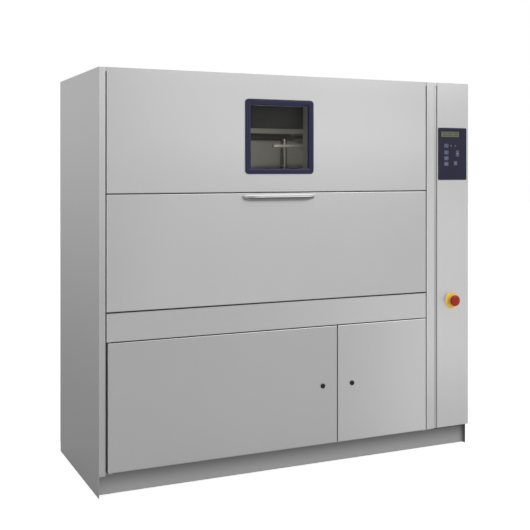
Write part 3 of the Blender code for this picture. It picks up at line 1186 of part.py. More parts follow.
def wash_pipework():
    """Welded pipes from the pump to the header, the riser and the four spigots of the wash arms."""
    clamp_radius, clamp_height = 0.032, 0.008
    knob_radius, knob_height = 0.018, 0.008
    bend = 0.050
    outlet = (PUMP_X + PUMP_OUTLET_X, CHAMBER_MID_Y + PUMP_OUTLET_Y)
    low_z = PUMP_OUTLET_Z + FIT
    turn_z = LOWER_HEADER_Z - bend - bend
    rise = pipe([(*outlet, low_z), (*outlet, turn_z), (outlet[0], HEADER_Y, turn_z),
                 (outlet[0], HEADER_Y, LOWER_HEADER_Z)],
                HEADER_RADIUS, bend, PIPE_SIDES)
    pieces = [rod((*outlet, low_z), (*outlet, low_z + clamp_height), clamp_radius, 16),
              rod((WASH_ARMS_X[0] - BRANCH_RADIUS, HEADER_Y, LOWER_HEADER_Z),
                  (WASH_ARMS_X[1] + BRANCH_RADIUS, HEADER_Y, LOWER_HEADER_Z), HEADER_RADIUS, PIPE_SIDES),
              rod((RISER_X, HEADER_Y, LOWER_HEADER_Z), (RISER_X, HEADER_Y, UPPER_HEADER_Z), BRANCH_RADIUS,
                  PIPE_SIDES),
              rod((WASH_ARMS_X[0] - BRANCH_RADIUS, HEADER_Y, UPPER_HEADER_Z),
                  (WASH_ARMS_X[1] + BRANCH_RADIUS, HEADER_Y,
                   UPPER_HEADER_Z), BRANCH_RADIUS + SHEET, PIPE_SIDES)]
    for x in WASH_ARMS_X:
        pieces.append(pipe([(x, HEADER_Y, LOWER_HEADER_Z), (x, CHAMBER_MID_Y, LOWER_HEADER_Z),
                            (x, CHAMBER_MID_Y, LOWER_SHOULDER)], BRANCH_RADIUS, bend, PIPE_SIDES))
        pieces.append(rod((x, CHAMBER_MID_Y, LOWER_SHOULDER - SHEET),
                          (x, CHAMBER_MID_Y, LOWER_SHOULDER + PIN_HEIGHT),
                          SPIGOT_PIN_RADIUS, ARM_BORE_SIDES))
        pieces.append(pipe([(x, HEADER_Y, UPPER_HEADER_Z), (x, CHAMBER_MID_Y, UPPER_HEADER_Z),
                            (x, CHAMBER_MID_Y, UPPER_SHOULDER)], BRANCH_RADIUS, UPPER_BEND, PIPE_SIDES))
        pin_end = UPPER_SHOULDER - RUNNING - HUB_HEIGHT - RUNNING
        pieces.append(rod((x, CHAMBER_MID_Y, UPPER_SHOULDER + SHEET),
                          (x, CHAMBER_MID_Y, pin_end - knob_height / 2),
                          SPIGOT_PIN_RADIUS, ARM_BORE_SIDES))
        pieces.append(rod((x, CHAMBER_MID_Y, pin_end - knob_height), (x, CHAMBER_MID_Y, pin_end),
                          knob_radius, 16))
    named(join(rise, *pieces), "wash_pipework", "satin_steel")


def wash_arms():
    """Four spray arms that spin on their spigots: two below the rack and two under the ceiling."""
    for side, x in zip(("left", "right"), WASH_ARMS_X):
        lower = spray_arm(x, LOWER_SHOULDER + RUNNING, 1)
        bore = rod((x, CHAMBER_MID_Y, LOWER_SHOULDER - OVERRUN),
                   (x, CHAMBER_MID_Y, LOWER_SHOULDER + PIN_HEIGHT + RUNNING + RUNNING),
                   bore_radius(SPIGOT_PIN_RADIUS, ARM_BORE_SIDES, RUNNING), ARM_BORE_SIDES)
        named(cut(lower, bore), f"lower_{side}_wash_arm", "satin_steel", (x, CHAMBER_MID_Y, LOWER_SHOULDER))
        upper = spray_arm(x, UPPER_SHOULDER - RUNNING, -1)
        bore = rod((x, CHAMBER_MID_Y, UPPER_SHOULDER - HUB_HEIGHT - OVERRUN),
                   (x, CHAMBER_MID_Y, UPPER_SHOULDER + OVERRUN),
                   bore_radius(SPIGOT_PIN_RADIUS, ARM_BORE_SIDES, RUNNING), ARM_BORE_SIDES)
        named(cut(upper, bore), f"upper_{side}_wash_arm", "satin_steel", (x, CHAMBER_MID_Y, UPPER_SHOULDER))


def spray_arm(x, shoulder, way):
    """One arm about a hub, with its nozzles on the side that faces the load."""
    hub_radius = 0.026
    root_half, tip_half = 0.022, 0.013
    body_near, body_far = 0.010, 0.024
    nozzle_radius, nozzle_tip, nozzle_reach = 0.006, 0.004, 0.005
    nozzle_shares = (0.30, 0.52, 0.74, 0.93)
    low, high = sorted((shoulder, shoulder + way * HUB_HEIGHT))
    body_low, body_high = sorted((shoulder + way * body_near, shoulder + way * body_far))
    outline = [(x - ARM_RADIUS, CHAMBER_MID_Y - tip_half), (x, CHAMBER_MID_Y - root_half),
               (x + ARM_RADIUS, CHAMBER_MID_Y - tip_half), (x + ARM_RADIUS, CHAMBER_MID_Y + tip_half),
               (x, CHAMBER_MID_Y + root_half), (x - ARM_RADIUS, CHAMBER_MID_Y + tip_half)]
    arm = prism(outline, 2, body_low, body_high)
    pieces = [rod((x, CHAMBER_MID_Y, low), (x, CHAMBER_MID_Y, high), hub_radius, 20)]
    for share in nozzle_shares:
        for side in (-1, 1):
            nozzle_x = x + side * share * ARM_RADIUS
            start = shoulder + way * (body_far - SHEET / 2)
            pieces.append(rod((nozzle_x, CHAMBER_MID_Y, start),
                              (nozzle_x, CHAMBER_MID_Y, start + way * nozzle_reach),
                              nozzle_radius, 8, nozzle_tip))
    return join(arm, *pieces)


def load_rack():
    """Wire rack that rests on the rails: runners front to back, cross wires and a raised rim."""
    rack_width = 1.570
    half_width = rack_width / 2
    front_room, back_room = 0.020, 0.058
    runner_radius, cross_radius, overlap = 0.004, 0.003, 0.001
    runner_count, cross_count = 9, 7
    rim_height, rim_bend = 0.060, 0.020
    low_z = RACK_BASE
    front, back = CHAMBER_FRONT + front_room, CHAMBER_BACK - back_room
    runner_z = low_z + runner_radius
    cross_z = runner_z + runner_radius + cross_radius - overlap
    wires = []
    for index in range(runner_count):
        x = DOOR_MID - half_width + rack_width * index / (runner_count - 1)
        wires.append(rod((x, front, runner_z), (x, back, runner_z), runner_radius, 8))
    for index in range(cross_count):
        share = (index + 1 / 2) / cross_count
        y = front + (back - front) * share
        wires.append(rod((DOOR_MID - half_width - runner_radius, y, cross_z),
                         (DOOR_MID + half_width + runner_radius, y, cross_z), cross_radius, 6))
    for y in (front + runner_radius, back - runner_radius):
        corners = [(DOOR_MID - half_width, y, runner_z), (DOOR_MID - half_width, y, runner_z + rim_height),
                   (DOOR_MID + half_width, y, runner_z + rim_height), (DOOR_MID + half_width, y, runner_z)]
        wires.append(pipe(corners, runner_radius - overlap / 2, rim_bend, 8))
    named(join(*wires), "load_rack", "satin_steel")


def inlet_valve():
    """Water inlet: twin solenoid valve on the rear panel and the fill pipe to the chamber floor."""
    body_half_height, body_depth, body_margin = 0.022, 0.040, 0.025
    coil_radius, coil_reach = 0.017, 0.045
    bore_depth, wall = 0.025, 0.004
    fill_top, bend = 0.022, 0.030
    back = INNER_BACK - SHEET - FIT
    body = block((INLET_X[0] - body_margin, back - body_depth, INLET_Z - body_half_height),
                 (INLET_X[1] + body_margin, back, INLET_Z + body_half_height))
    pieces, bores = [], []
    for x in INLET_X:
        pieces.append(rod((x, back - SHEET, INLET_Z), (x, BACK_Y + REAR_REACH, INLET_Z), INLET_RADIUS,
                          STUB_SIDES))
        pieces.append(rod((x, back - body_depth / 2, INLET_Z - body_half_height / 2),
                          (x, back - body_depth / 2,
                           INLET_Z - body_half_height - coil_reach), coil_radius, 12))
        bores.append(rod((x, BACK_Y + REAR_REACH - bore_depth, INLET_Z),
                         (x, BACK_Y + REAR_REACH + OVERRUN, INLET_Z),
                         INLET_RADIUS - wall, STUB_SIDES))
    middle_x = (INLET_X[0] + INLET_X[1]) / 2
    route = [(middle_x, back - body_depth / 2, INLET_Z),
             (middle_x, back - body_depth / 2, INLET_Z + FILL_LIFT),
             (FILL_X, FILL_Y, INLET_Z + FILL_LIFT), (FILL_X, FILL_Y, FLOOR_Z + FLOOR_RISE + fill_top)]
    pieces.append(pipe(route, FILL_RADIUS, bend, 8))
    named(cut(join(body, *pieces), *bores), "water_inlet_valve", "grey_plastic")


def detergent_bay():
    """Two canisters on the floor plate and the dosing pump on the mullion web that draws from them."""
    width, depth, height = 0.190, 0.250, 0.300
    first_gap, pitch, front_gap = 0.035, 0.240, 0.080
    edge = 0.025
    neck_radius, neck_height, cap_radius, cap_height = 0.022, 0.012, 0.028, 0.022
    tube_radius, tube_lift = 0.004, 0.050
    low_z = BASE_TOP + FIT
    front = FRAME_BACK + front_gap
    tube_tops = []
    for index in range(2):
        left = SPLIT_MID + first_gap + index * pitch
        canister = block((left, front, low_z), (left + width, front + depth, low_z + height))
        round_edges(canister, ("left", "right", "front", "back", "top"), edge, 3)
        x, y = left + width / 2, front + depth / 2
        profile = [(neck_radius, -neck_height), (neck_radius, neck_height), (cap_radius, neck_height),
                   (cap_radius, neck_height + cap_height)]
        join(canister, turned(profile, (x, y, low_z + height), (0, 0, 1), 16))
        named(canister, f"detergent_container_{index + 1}", "canister_plastic")
        tube_tops.append((x, y, low_z + height + neck_height + cap_height + FIT))
    box_width, box_depth, box_height, box_z = 0.080, 0.180, 0.120, 0.520
    head_radius, head_reach = 0.028, 0.018
    left = SPLIT_MID + MULLION_SHEET / 2 + FIT
    middle_y = front + depth / 2
    dosing = block((left, middle_y - box_depth / 2, box_z),
                   (left + box_width, middle_y + box_depth / 2, box_z + box_height))
    pieces = []
    for (x, y, z), offset in zip(tube_tops, (-box_depth / 4, box_depth / 4)):
        head_y = middle_y + offset
        pieces.append(rod((left + box_width - SHEET, head_y, box_z + box_height / 2),
                          (left + box_width + head_reach, head_y, box_z + box_height / 2), head_radius, 16))
        start = (left + box_width + head_reach / 2, head_y,
                 box_z + box_height / 2 - head_radius + tube_radius)
        pieces.append(pipe([start, (start[0], head_y, z + tube_lift), (x, y, z + tube_lift), (x, y, z)],
                           tube_radius, TUBE_BEND, 6))
    named(join(dosing, *pieces), "dosing_pump", "grey_plastic")


def electrical_board():
    """Mounting plate on the divider with two rows of contactors, a terminal strip and a drive."""
    low_z, high_z = 0.950, 1.700
    front, back = 0.140, 0.640
    plate_thickness = 0.003
    row_heights = (1.550, 1.360)
    rail_margin = 0.040
    module_width, module_height, module_depth = 0.045, 0.085, 0.060
    module_pitch, module_count = 0.070, 6
    drive_low, drive_high, drive_depth = 1.000, 1.250, 0.110
    left = POST_RIGHT + FIT
    plate = block((left, FRONT_Y + front, low_z), (left + plate_thickness, FRONT_Y + back, high_z))
    pieces = []
    face = left + plate_thickness / 2
    for z in row_heights:
        for index in range(module_count):
            y = FRONT_Y + front + rail_margin + index * module_pitch
            pieces.append(block((face, y, z), (left + module_depth, y + module_width, z + module_height)))
    pieces.append(block((face, FRONT_Y + front + rail_margin, drive_low),
                        (left + drive_depth, FRONT_Y + back - rail_margin - module_pitch, drive_high)))
    named(join(plate, *pieces), "electrical_board", "board_plate")


def control_panel():
    """Control unit in the column: a bezel over the opening, a body behind it, display and six keys."""
    proud, unit_depth, unit_gap = 0.003, 0.045, 0.002
    edge_radius = 0.006
    window_depth, pane_proud = 0.0015, 0.0003
    panel = upright_block(control_box(0), FRONT_Y - FIT - proud, FRONT_Y - FIT)
    round_upright_corners(panel, edge_radius)
    unit = upright_block(control_box(CONTROL_RIM + unit_gap), FRONT_Y - FIT - proud / 2,
                         FRONT_Y + unit_depth)
    join(panel, unit)
    base, _ = control_box(0)
    face = FRONT_Y - FIT - proud
    pockets = []
    for name, x, z, width, height in KEYS:
        middle = base + Vector((x, z))
        half = Vector((width / 2 + KEY_ROOM, height / 2 + KEY_ROOM))
        pockets.append(upright_block((middle - half, middle + half), face - OVERRUN, face + KEY_POCKET))
        half = Vector((width / 2, height / 2))
        key = upright_block((middle - half, middle + half), face - KEY_PROUD,
                            face + KEY_POCKET - KEY_TRAVEL - FIT)
        key_origin = (middle.x, face, middle.y)
        named(key, name, "key_film", key_origin)
    low, high = base + Vector(DISPLAY_LOW), base + Vector(DISPLAY_HIGH)
    room = Vector((FIT, FIT))
    pockets.append(upright_block((low - room, high + room), face - OVERRUN, face + window_depth))
    named(cut(panel, *pockets), "control_panel", "navy_film")
    pane = upright_block((low, high), face - pane_proud, face + window_depth - FIT)
    named(pane, "display_window", "display_glass")


def stop_button():
    """Emergency stop: a yellow collar through the panel, a sliding stem and a head that twists on it."""
    collar_thickness, nut_radius, nut_height = 0.004, 0.020, 0.006
    barrel_depth = 0.025
    ring_radius, ring_thickness = 0.011, 0.003
    neck_radius, neck_height, cap_edge, cap_height, dome = 0.015, 0.010, 0.005, 0.014, 0.004
    lift = 0.0015
    socket_depth = 0.018
    x, z = STOP_X, STOP_BUTTON_Z
    collar_back = FRONT_Y - FIT
    collar_front = collar_back - collar_thickness
    bore = bore_radius(STOP_STEM_RADIUS, 16, RUNNING)
    reach = barrel_depth + collar_thickness + FIT
    nut = collar_thickness + FIT + SHEET + FIT
    profile = [(bore, 0), (STOP_PLATE_RADIUS - lift, 0), (STOP_PLATE_RADIUS, lift),
               (STOP_PLATE_RADIUS, collar_thickness),
               (STOP_BARREL_RADIUS, collar_thickness), (STOP_BARREL_RADIUS, nut), (nut_radius, nut),
               (nut_radius, nut + nut_height), (STOP_BARREL_RADIUS, nut + nut_height),
               (STOP_BARREL_RADIUS, reach), (bore, reach), (bore, 0)]
    named(turned(profile, (x, collar_front, z), (0, 1, 0), 32), "estop_collar", "yellow_plastic")

    head_back = collar_front - STOP_TRAVEL - lift
    stem_front = head_back - socket_depth + RUNNING
    ring_y = FRONT_Y + barrel_depth + RUNNING
    profile = [(STOP_STEM_RADIUS, 0), (STOP_STEM_RADIUS, ring_y - stem_front),
               (ring_radius, ring_y - stem_front),
               (ring_radius, ring_y - stem_front + ring_thickness)]
    named(turned(profile, (x, stem_front, z), (0, 1, 0), 16), "estop_stem", "grey_plastic", (x, FRONT_Y, z))

    top = neck_height + cap_height
    profile = [(neck_radius, 0), (neck_radius, neck_height), (STOP_HEAD_RADIUS - dome, neck_height),
               (STOP_HEAD_RADIUS, neck_height + dome), (STOP_HEAD_RADIUS, top - cap_edge),
               (STOP_HEAD_RADIUS - cap_edge / 2, top - cap_edge / 2),
               (STOP_HEAD_RADIUS - cap_edge - cap_edge / 2, top), (0, top + dome)]
    socket = rod((x, head_back + OVERRUN, z), (x, head_back - socket_depth, z), bore, 16)
    named(cut(turned(profile, (x, head_back, z), (0, -1, 0), 24), socket), "estop_head", "red_plastic",
          (x, head_back, z))


base_frame()
levelling_feet()
plinth()
side_panels()
column_divider()
top_panel()
rear_panel()
front_panels()
window()
front_frame()
door_seal()
loading_door()
door_handle()
service_doors()
service_mullion()
wash_chamber()
sump()
drain_valve()
pump()
wash_pipework()
wash_arms()
load_rack()
inlet_valve()
detergent_bay()
electrical_board()
control_panel()
stop_button()
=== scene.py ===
import math

import bmesh
import bpy
from mathutils import Matrix, Vector


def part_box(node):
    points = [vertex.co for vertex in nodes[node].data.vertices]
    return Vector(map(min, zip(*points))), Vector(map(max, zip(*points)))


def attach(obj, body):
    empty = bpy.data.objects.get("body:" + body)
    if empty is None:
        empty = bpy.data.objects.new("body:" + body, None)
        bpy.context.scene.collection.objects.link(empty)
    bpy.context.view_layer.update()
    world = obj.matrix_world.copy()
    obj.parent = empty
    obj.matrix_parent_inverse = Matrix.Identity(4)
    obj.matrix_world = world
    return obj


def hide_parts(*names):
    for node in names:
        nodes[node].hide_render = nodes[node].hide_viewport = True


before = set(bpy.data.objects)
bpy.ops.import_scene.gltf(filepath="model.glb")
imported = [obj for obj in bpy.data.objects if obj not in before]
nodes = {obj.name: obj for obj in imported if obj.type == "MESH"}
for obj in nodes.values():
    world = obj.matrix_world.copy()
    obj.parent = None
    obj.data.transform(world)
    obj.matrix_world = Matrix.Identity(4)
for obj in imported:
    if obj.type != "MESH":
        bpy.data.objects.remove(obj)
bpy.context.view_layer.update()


# Camera. It stands at eye height, left of the machine's front, and looks level with the lens
# shifted down, so upright edges stay upright as they do in a product photograph.
camera_turn, camera_place = 24.67, (-2.135, -4.6175, 1.516)
camera_lens, film_width, lens_drop = 63.0, 36.0, 0.177
camera_data = bpy.data.cameras.new("camera")
camera = bpy.data.objects.new("camera", camera_data)
bpy.context.scene.collection.objects.link(camera)
camera_data.lens = camera_lens
camera_data.sensor_width = film_width
camera_data.shift_y = -lens_drop
camera.location = camera_place
camera.rotation_euler = (math.radians(90), 0, math.radians(-camera_turn))
bpy.context.scene.camera = camera
bpy.context.scene.view_settings.view_transform = "Standard"


# Studio. The camera sees white all round. Steel mirrors a surround that is white above and grey
# towards the ground, so the panels darken downwards, and the pale floor keeps a soft shadow.
def linear(colour):
    """Turns an sRGB hex colour into a linear one."""
    shares = [int(colour[at:at + 2], 16) / 255 for at in (1, 3, 5)]
    return tuple(s / 12.92 if s <= 0.04045 else ((s + 0.055) / 1.055) ** 2.4 for s in shares) + (1.0,)


def add_node(tree, kind, inputs=None, **settings):
    """Adds a node to a tree; an input is given a value or the socket that feeds it."""
    made = tree.nodes.new(kind)
    for name, value in settings.items():
        setattr(made, name, value)
    for key, value in (inputs or {}).items():
        if isinstance(value, bpy.types.NodeSocket):
            tree.links.new(value, made.inputs[key])
        else:
            made.inputs[key].default_value = value
    return made


def bare_material(name):
    """A new material with its node tree emptied."""
    material = bpy.data.materials.new(name)
    material.use_nodes = True
    material.node_tree.nodes.clear()
    return material, material.node_tree


def seen_directly(tree):
    """A socket that is 1 for a ray from the camera or through glass."""
    path = add_node(tree, "ShaderNodeLightPath")
    return add_node(tree, "ShaderNodeMath", {0: path.outputs["Is Camera Ray"],
                                             1: path.outputs["Is Transmission Ray"]},
                    operation="MAXIMUM").outputs[0]


world = bpy.data.worlds.new("white surround")
bpy.context.scene.world = world
world.use_nodes = True
surround = world.node_tree
surround.nodes.clear()
sky_light, sky_low, sky_high = 0.62, 0.76, 0.88
haze_low, haze_high = -0.06, 0.30
ray = add_node(surround, "ShaderNodeTexCoord").outputs["Generated"]
rise = add_node(surround, "ShaderNodeSeparateXYZ", {0: ray}).outputs["Z"]
mirrored = add_node(surround, "ShaderNodeMapRange",
                    {"Value": rise, "From Min": haze_low, "From Max": haze_high,
                     "To Min": sky_low, "To Max": sky_high})
in_steel = add_node(surround, "ShaderNodeLightPath").outputs["Is Glossy Ray"]
level = add_node(surround, "ShaderNodeMix", {0: in_steel, 2: sky_light, 3: mirrored.outputs[0]})
lit_by_sky = add_node(surround, "ShaderNodeBackground", {"Color": linear("#f8f8f8"),
                                                         "Strength": level.outputs[0]})
seen_as_white = add_node(surround, "ShaderNodeBackground", {"Color": linear("#ffffff"), "Strength": 1.0})
surround_mix = add_node(surround, "ShaderNodeMixShader",
                        {0: seen_directly(surround), 1: lit_by_sky.outputs[0], 2: seen_as_white.outputs[0]})
add_node(surround, "ShaderNodeOutputWorld", {0: surround_mix.outputs[0]})

# The floor's matt paint glows up to plain white for the camera, and to a weaker grey in the steel.
floor_half, floor_glow, mirrored_glow = 30.0, 0.62, 0.22
floor_mesh = bmesh.new()
bmesh.ops.create_grid(floor_mesh, x_segments=1, y_segments=1, size=floor_half)
floor_data = bpy.data.meshes.new("studio_floor")
floor_mesh.to_mesh(floor_data)
floor_mesh.free()
floor = bpy.data.objects.new("studio_floor", floor_data)
bpy.context.scene.collection.objects.link(floor)
floor_paint, tree = bare_material("matt white studio floor")
floor_in_steel = add_node(tree, "ShaderNodeMath",
                          {0: add_node(tree, "ShaderNodeLightPath").outputs["Is Glossy Ray"],
                           1: mirrored_glow}, operation="MULTIPLY")
glow = add_node(tree, "ShaderNodeMath",
                {0: seen_directly(tree), 1: floor_glow, 2: floor_in_steel.outputs[0]},
                operation="MULTIPLY_ADD")
floor_face = add_node(tree, "ShaderNodeBsdfPrincipled",
                      {"Base Color": linear("#eaeaea"), "Roughness": 0.9, "Specular IOR Level": 0.1,
                       "Emission Color": linear("#ffffff"), "Emission Strength": glow.outputs[0]})
add_node(tree, "ShaderNodeOutputMaterial", {0: floor_face.outputs[0]})
floor_data.materials.append(floor_paint)


def soft_lamp(name, place, target, size, power):
    """A square lamp that faces a point."""
    lamp_data = bpy.data.lights.new(name, "AREA")
    lamp_data.shape = "SQUARE"
    lamp_data.size = size
    lamp_data.energy = power
    lamp = bpy.data.objects.new(name, lamp_data)
    bpy.context.scene.collection.objects.link(lamp)
    lamp.location = place
    lamp.rotation_euler = (Vector(target) - Vector(place)).to_track_quat("-Z", "Y").to_euler()


soft_lamp("key lamp", place=(2.8, -4.6, 4.2), target=(0.1, -0.3, 1.1), size=3.0, power=110)
soft_lamp("fill lamp", place=(-4.5, -2.0, 3.4), target=(-0.9, 0.0, 1.0), size=2.5, power=30)


# Base frame and feet. Square stainless tube welded into a ladder and bead blasted to a dull, even
# grey with no streaks. Each foot is a screwed stud with a hexagonal lock nut under the tube,
# electropolished to a soft mirror, as the pipes, screws, wires and stays further on are.
def along(tree, place, change):
    """A plain value, or one that goes from one to another between two places on an axis.

    A change is the axis, the two places in metres and the value at each, which can be a change."""
    if not isinstance(change, tuple):
        return change
    axis, start, end, at_start, at_end = change
    axes = add_node(tree, "ShaderNodeSeparateXYZ", {0: place})
    return add_node(tree, "ShaderNodeMapRange",
                    {"Value": axes.outputs[axis], "From Min": start, "From Max": end,
                     "To Min": along(tree, place, at_start), "To Max": along(tree, place, at_end)},
                    interpolation_type="SMOOTHSTEP").outputs[0]


def metal(name, colour, roughness, unevenness, grain=None, streak=0.0, dent=0.0, share=None,
          metallic=1.0):
    """A bare metal; grain is a scratch's size along each axis, and share a change of the colour that paints
    light and shade.

    Its tone drifts in clouds, and a thin sheet's face in shallow waves, about half a metre wide."""
    cloud_width, wave_width, scratch_depth, wave_depth = 0.4545, 0.625, 0.0004, 0.01
    material, tree = bare_material(name)
    place = add_node(tree, "ShaderNodeTexCoord").outputs["Object"]
    cloud = add_node(tree, "ShaderNodeTexNoise", {"Vector": place, "Scale": 1 / cloud_width, "Detail": 3.0})
    tint = add_node(tree, "ShaderNodeMapRange", {"Value": cloud.outputs[0], "To Min": 1 - unevenness,
                                                 "To Max": 1 + unevenness})
    shade = add_node(tree, "ShaderNodeVectorMath", {0: linear(colour)[:3], "Scale": tint.outputs[0]},
                     operation="SCALE")
    polish = tint.outputs[0]
    surface = None
    if share:
        shade = add_node(tree, "ShaderNodeVectorMath",
                         {0: shade.outputs[0], "Scale": along(tree, place, share)}, operation="SCALE")
    if grain:
        stretch = add_node(tree, "ShaderNodeMapping", {"Vector": place,
                                                       "Scale": tuple(1 / length for length in grain)})
        scratch = add_node(tree, "ShaderNodeTexNoise", {"Vector": stretch.outputs[0], "Scale": 1.0,
                                                        "Detail": 4.0, "Roughness": 0.65})
        lines = add_node(tree, "ShaderNodeMapRange", {"Value": scratch.outputs[0], "To Min": 1 - streak,
                                                      "To Max": 1 + streak})
        shade = add_node(tree, "ShaderNodeVectorMath", {0: shade.outputs[0], "Scale": lines.outputs[0]},
                         operation="SCALE")
        polish = add_node(tree, "ShaderNodeMath", {0: lines.outputs[0], 1: tint.outputs[0]},
                          operation="MULTIPLY").outputs[0]
        surface = add_node(tree, "ShaderNodeBump", {"Height": scratch.outputs[0], "Strength": 0.06,
                                                    "Distance": scratch_depth})
    rough = add_node(tree, "ShaderNodeMath", {0: polish, 1: roughness}, operation="MULTIPLY")
    if dent:
        wave = add_node(tree, "ShaderNodeTexNoise", {"Vector": place, "Scale": 1 / wave_width,
                                                     "Detail": 1.0})
        follows = {"Normal": surface.outputs[0]} if surface else {}
        surface = add_node(tree, "ShaderNodeBump", {"Height": wave.outputs[0], "Strength": dent,
                                                    "Distance": wave_depth, **follows})
    inputs = {"Base Color": shade.outputs[0], "Metallic": along(tree, place, metallic),
              "Roughness": rough.outputs[0]}
    if surface:
        inputs["Normal"] = surface.outputs[0]
    face = add_node(tree, "ShaderNodeBsdfPrincipled", inputs)
    add_node(tree, "ShaderNodeOutputMaterial", {0: face.outputs[0]})
    return material


def dress(material, *names):
    """Gives a material to nodes of the model."""
    for name in names:
        nodes[name].data.materials.clear()
        nodes[name].data.materials.append(material)


def add_rod(mesh, start, end, radius, sides=24, edge=0.0):
    """A rod between two points, with its end edges rounded."""
    start, end = Vector(start), Vector(end)
    turn = (end - start).to_track_quat("Z", "Y").to_matrix().to_4x4()
    made = bmesh.ops.create_cone(mesh, cap_ends=True, segments=sides, radius1=radius, radius2=radius,
                                 depth=(end - start).length,
                                 matrix=Matrix.Translation((start + end) / 2) @ turn)
    if edge:
        rims = {side for vert in made["verts"] for side in vert.link_edges
                if any(len(face.verts) == sides for face in side.link_faces)}
        bmesh.ops.bevel(mesh, geom=list(rims), offset=edge, segments=2, profile=0.5, affect="EDGES",
                        material=-1)


def finished(name, mesh, material, body, replaced=(), sharp=35):
    """Closes a mesh into a piece made of a material that moves with a body."""
    bmesh.ops.remove_doubles(mesh, verts=mesh.verts, dist=1e-6)
    bmesh.ops.recalc_face_normals(mesh, faces=mesh.faces)
    data = bpy.data.meshes.new(name)
    mesh.to_mesh(data)
    mesh.free()
    data.materials.append(material)
    data.shade_smooth()
    data.set_sharp_from_angle(angle=math.radians(sharp))
    made = bpy.data.objects.new(name, data)
    bpy.context.scene.collection.objects.link(made)
    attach(made, body)
    if replaced:
        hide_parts(*replaced)


def middle_of(node):
    """The middle of a node's box, with its lowest and highest corners."""
    low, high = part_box(node)
    return (low + high) / 2, low, high


blasted_steel = metal("bead blasted stainless tube", "#868787", roughness=0.58, unevenness=0.08)
polished_steel = metal("electropolished stainless", "#b5b5b6", roughness=0.22, unevenness=0.03)
dress(blasted_steel, "base_frame", "service_mullion")
nut_radius, nut_height, nut_gap, nut_edge = 0.0139, 0.010, 0.0005, 0.0008
for foot in ("foot_front_left", "foot_front_right", "foot_rear_left", "foot_rear_right"):
    dress(polished_steel, foot)
    middle, low, high = middle_of(foot)
    mesh = bmesh.new()
    add_rod(mesh, (middle.x, middle.y, high.z - nut_height - nut_gap),
            (middle.x, middle.y, high.z - nut_gap), nut_radius, sides=6, edge=nut_edge)
    finished(foot + "_lock_nut", mesh, polished_steel, "cabinet")


# Plinth. A kick plate of satin stainless sheet, clipped on behind the line of the doors with its
# grain lying level. Its grey is painted darker towards the top, a painted shade under the doors, and left
# paler at its foot.
level_grain, plinth_shade = (0.22, 0.0016, 0.0016), ("Z", 0.0, 0.11, 1.0, 0.42)
plinth_steel = metal("stainless kick plate, painted shade at its top", "#acacac", roughness=0.55, unevenness=0.03,
                     grain=level_grain, streak=0.03, share=plinth_shade)
dress(plinth_steel, "plinth")


# Outer panels. Stainless steel sheet 2 mm thick, ground to a satin, folded and hung on the frame.
# The grain runs up and down and gives pale grey panels with a broad sheen. It is drawn 1.6 mm
# wide, because the real one, near 0.1 mm, is finer than a pixel. The panels' greys differ, and
# most change along the machine's axes, as painted light and shade.
upright_grain, sheet = (0.0016, 0.0016, 0.22), 0.002
front_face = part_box("upper_front_panel")[0].y
fold_edge, fold_end, fold_share, fold_metallic = 0.0015, 0.0025, 1.6, 0.2


def ground_steel(part, colour, roughness, share=None, metallic=1.0, unevenness=0.02, dent=0.04):
    """Satin ground sheet with upright grain."""
    return metal("satin ground stainless, " + part, colour, roughness, unevenness, upright_grain,
                 streak=0.03, dent=dent, share=share, metallic=metallic)


def folded_steel(part, node, colour, roughness, share):
    """Satin ground sheet whose left fold keeps a milky, less metallic mill finish and is painted paler, a
    painted light in the seam.
    """
    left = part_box(node)[0].x
    fold = ("X", left + fold_edge, left + fold_end)
    return ground_steel(part, colour, roughness, (*fold, fold_share, share), (*fold, fold_metallic, 1.0))


# Painted light and shade: the head panel is paler below 1.62 m and darker to the top right.
head_shade = ("Z", 1.62, 2.0, 1.09, ("X", -0.95, 0.0, 1.03, 0.85))
dress(folded_steel("head panel", "upper_front_panel", "#b7b7b7", 0.42, head_shade), "upper_front_panel")

# The apron's grey is painted dark along its top fold, a painted shade from the door over it, and
# paler to the right, a painted light.
apron_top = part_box("apron_panel")[1].z
apron_shade = ("Z", apron_top - 0.0045, apron_top - 0.0020, ("X", -0.4, 0.76, 1.0, 1.20), 0.42)
dress(folded_steel("apron", "apron_panel", "#b7b7b7", 0.42, apron_shade), "apron_panel")

# The column's grey is painted paler up to 0.62 m and darker again above 1.1 m, as painted light
# and shade. The filler in the groove beside it lies behind the front face and is painted darker
# still, a painted shade.
column_rise = ("Z", 1.1, 1.95, ("Z", 0.10, 0.62, 0.86, 1.0), 0.72)
column_shade = ("Y", front_face + 0.003, front_face + 0.005, column_rise, 0.72)
dress(ground_steel("control column", "#cecece", 0.42, column_shade, unevenness=0.015, dent=0.03),
      "column_front_panel", "column_divider")

# A side panel's front fold is the pillar at the corner. Its grey is painted paler than the side
# behind it, and both are painted paler to the top, as painted light and shade.
side_shade = ("Z", 0.2, 2.0, ("Y", front_face + 0.0005, front_face + sheet, 1.40, 0.94), 1.85)
dress(ground_steel("side panels", "#939393", 0.44, side_shade), "left_side_panel", "right_side_panel")
dress(ground_steel("rear and top panels", "#b2b2b2", 0.44), "rear_panel", "top_panel")

rear_low, rear_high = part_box("rear_panel")
screw_radius, screw_height, screw_edge = 0.0055, 0.002, 0.0008
screw_inset, screw_columns, screw_rows = 0.022, 7, 6
screw_left, screw_right = rear_low.x + screw_inset, rear_high.x - screw_inset
screw_low, screw_high = rear_low.z + screw_inset, rear_high.z - screw_inset
mesh = bmesh.new()
for column in range(screw_columns):
    for row in range(screw_rows):
        if 0 < column < screw_columns - 1 and 0 < row < screw_rows - 1:
            continue
        x = screw_left + (screw_right - screw_left) * column / (screw_columns - 1)
        z = screw_low + (screw_high - screw_low) * row / (screw_rows - 1)
        add_rod(mesh, (x, rear_high.y, z), (x, rear_high.y + screw_height, z), screw_radius,
                sides=16, edge=screw_edge)
finished("rear_panel_screws", mesh, polished_steel, "cabinet")


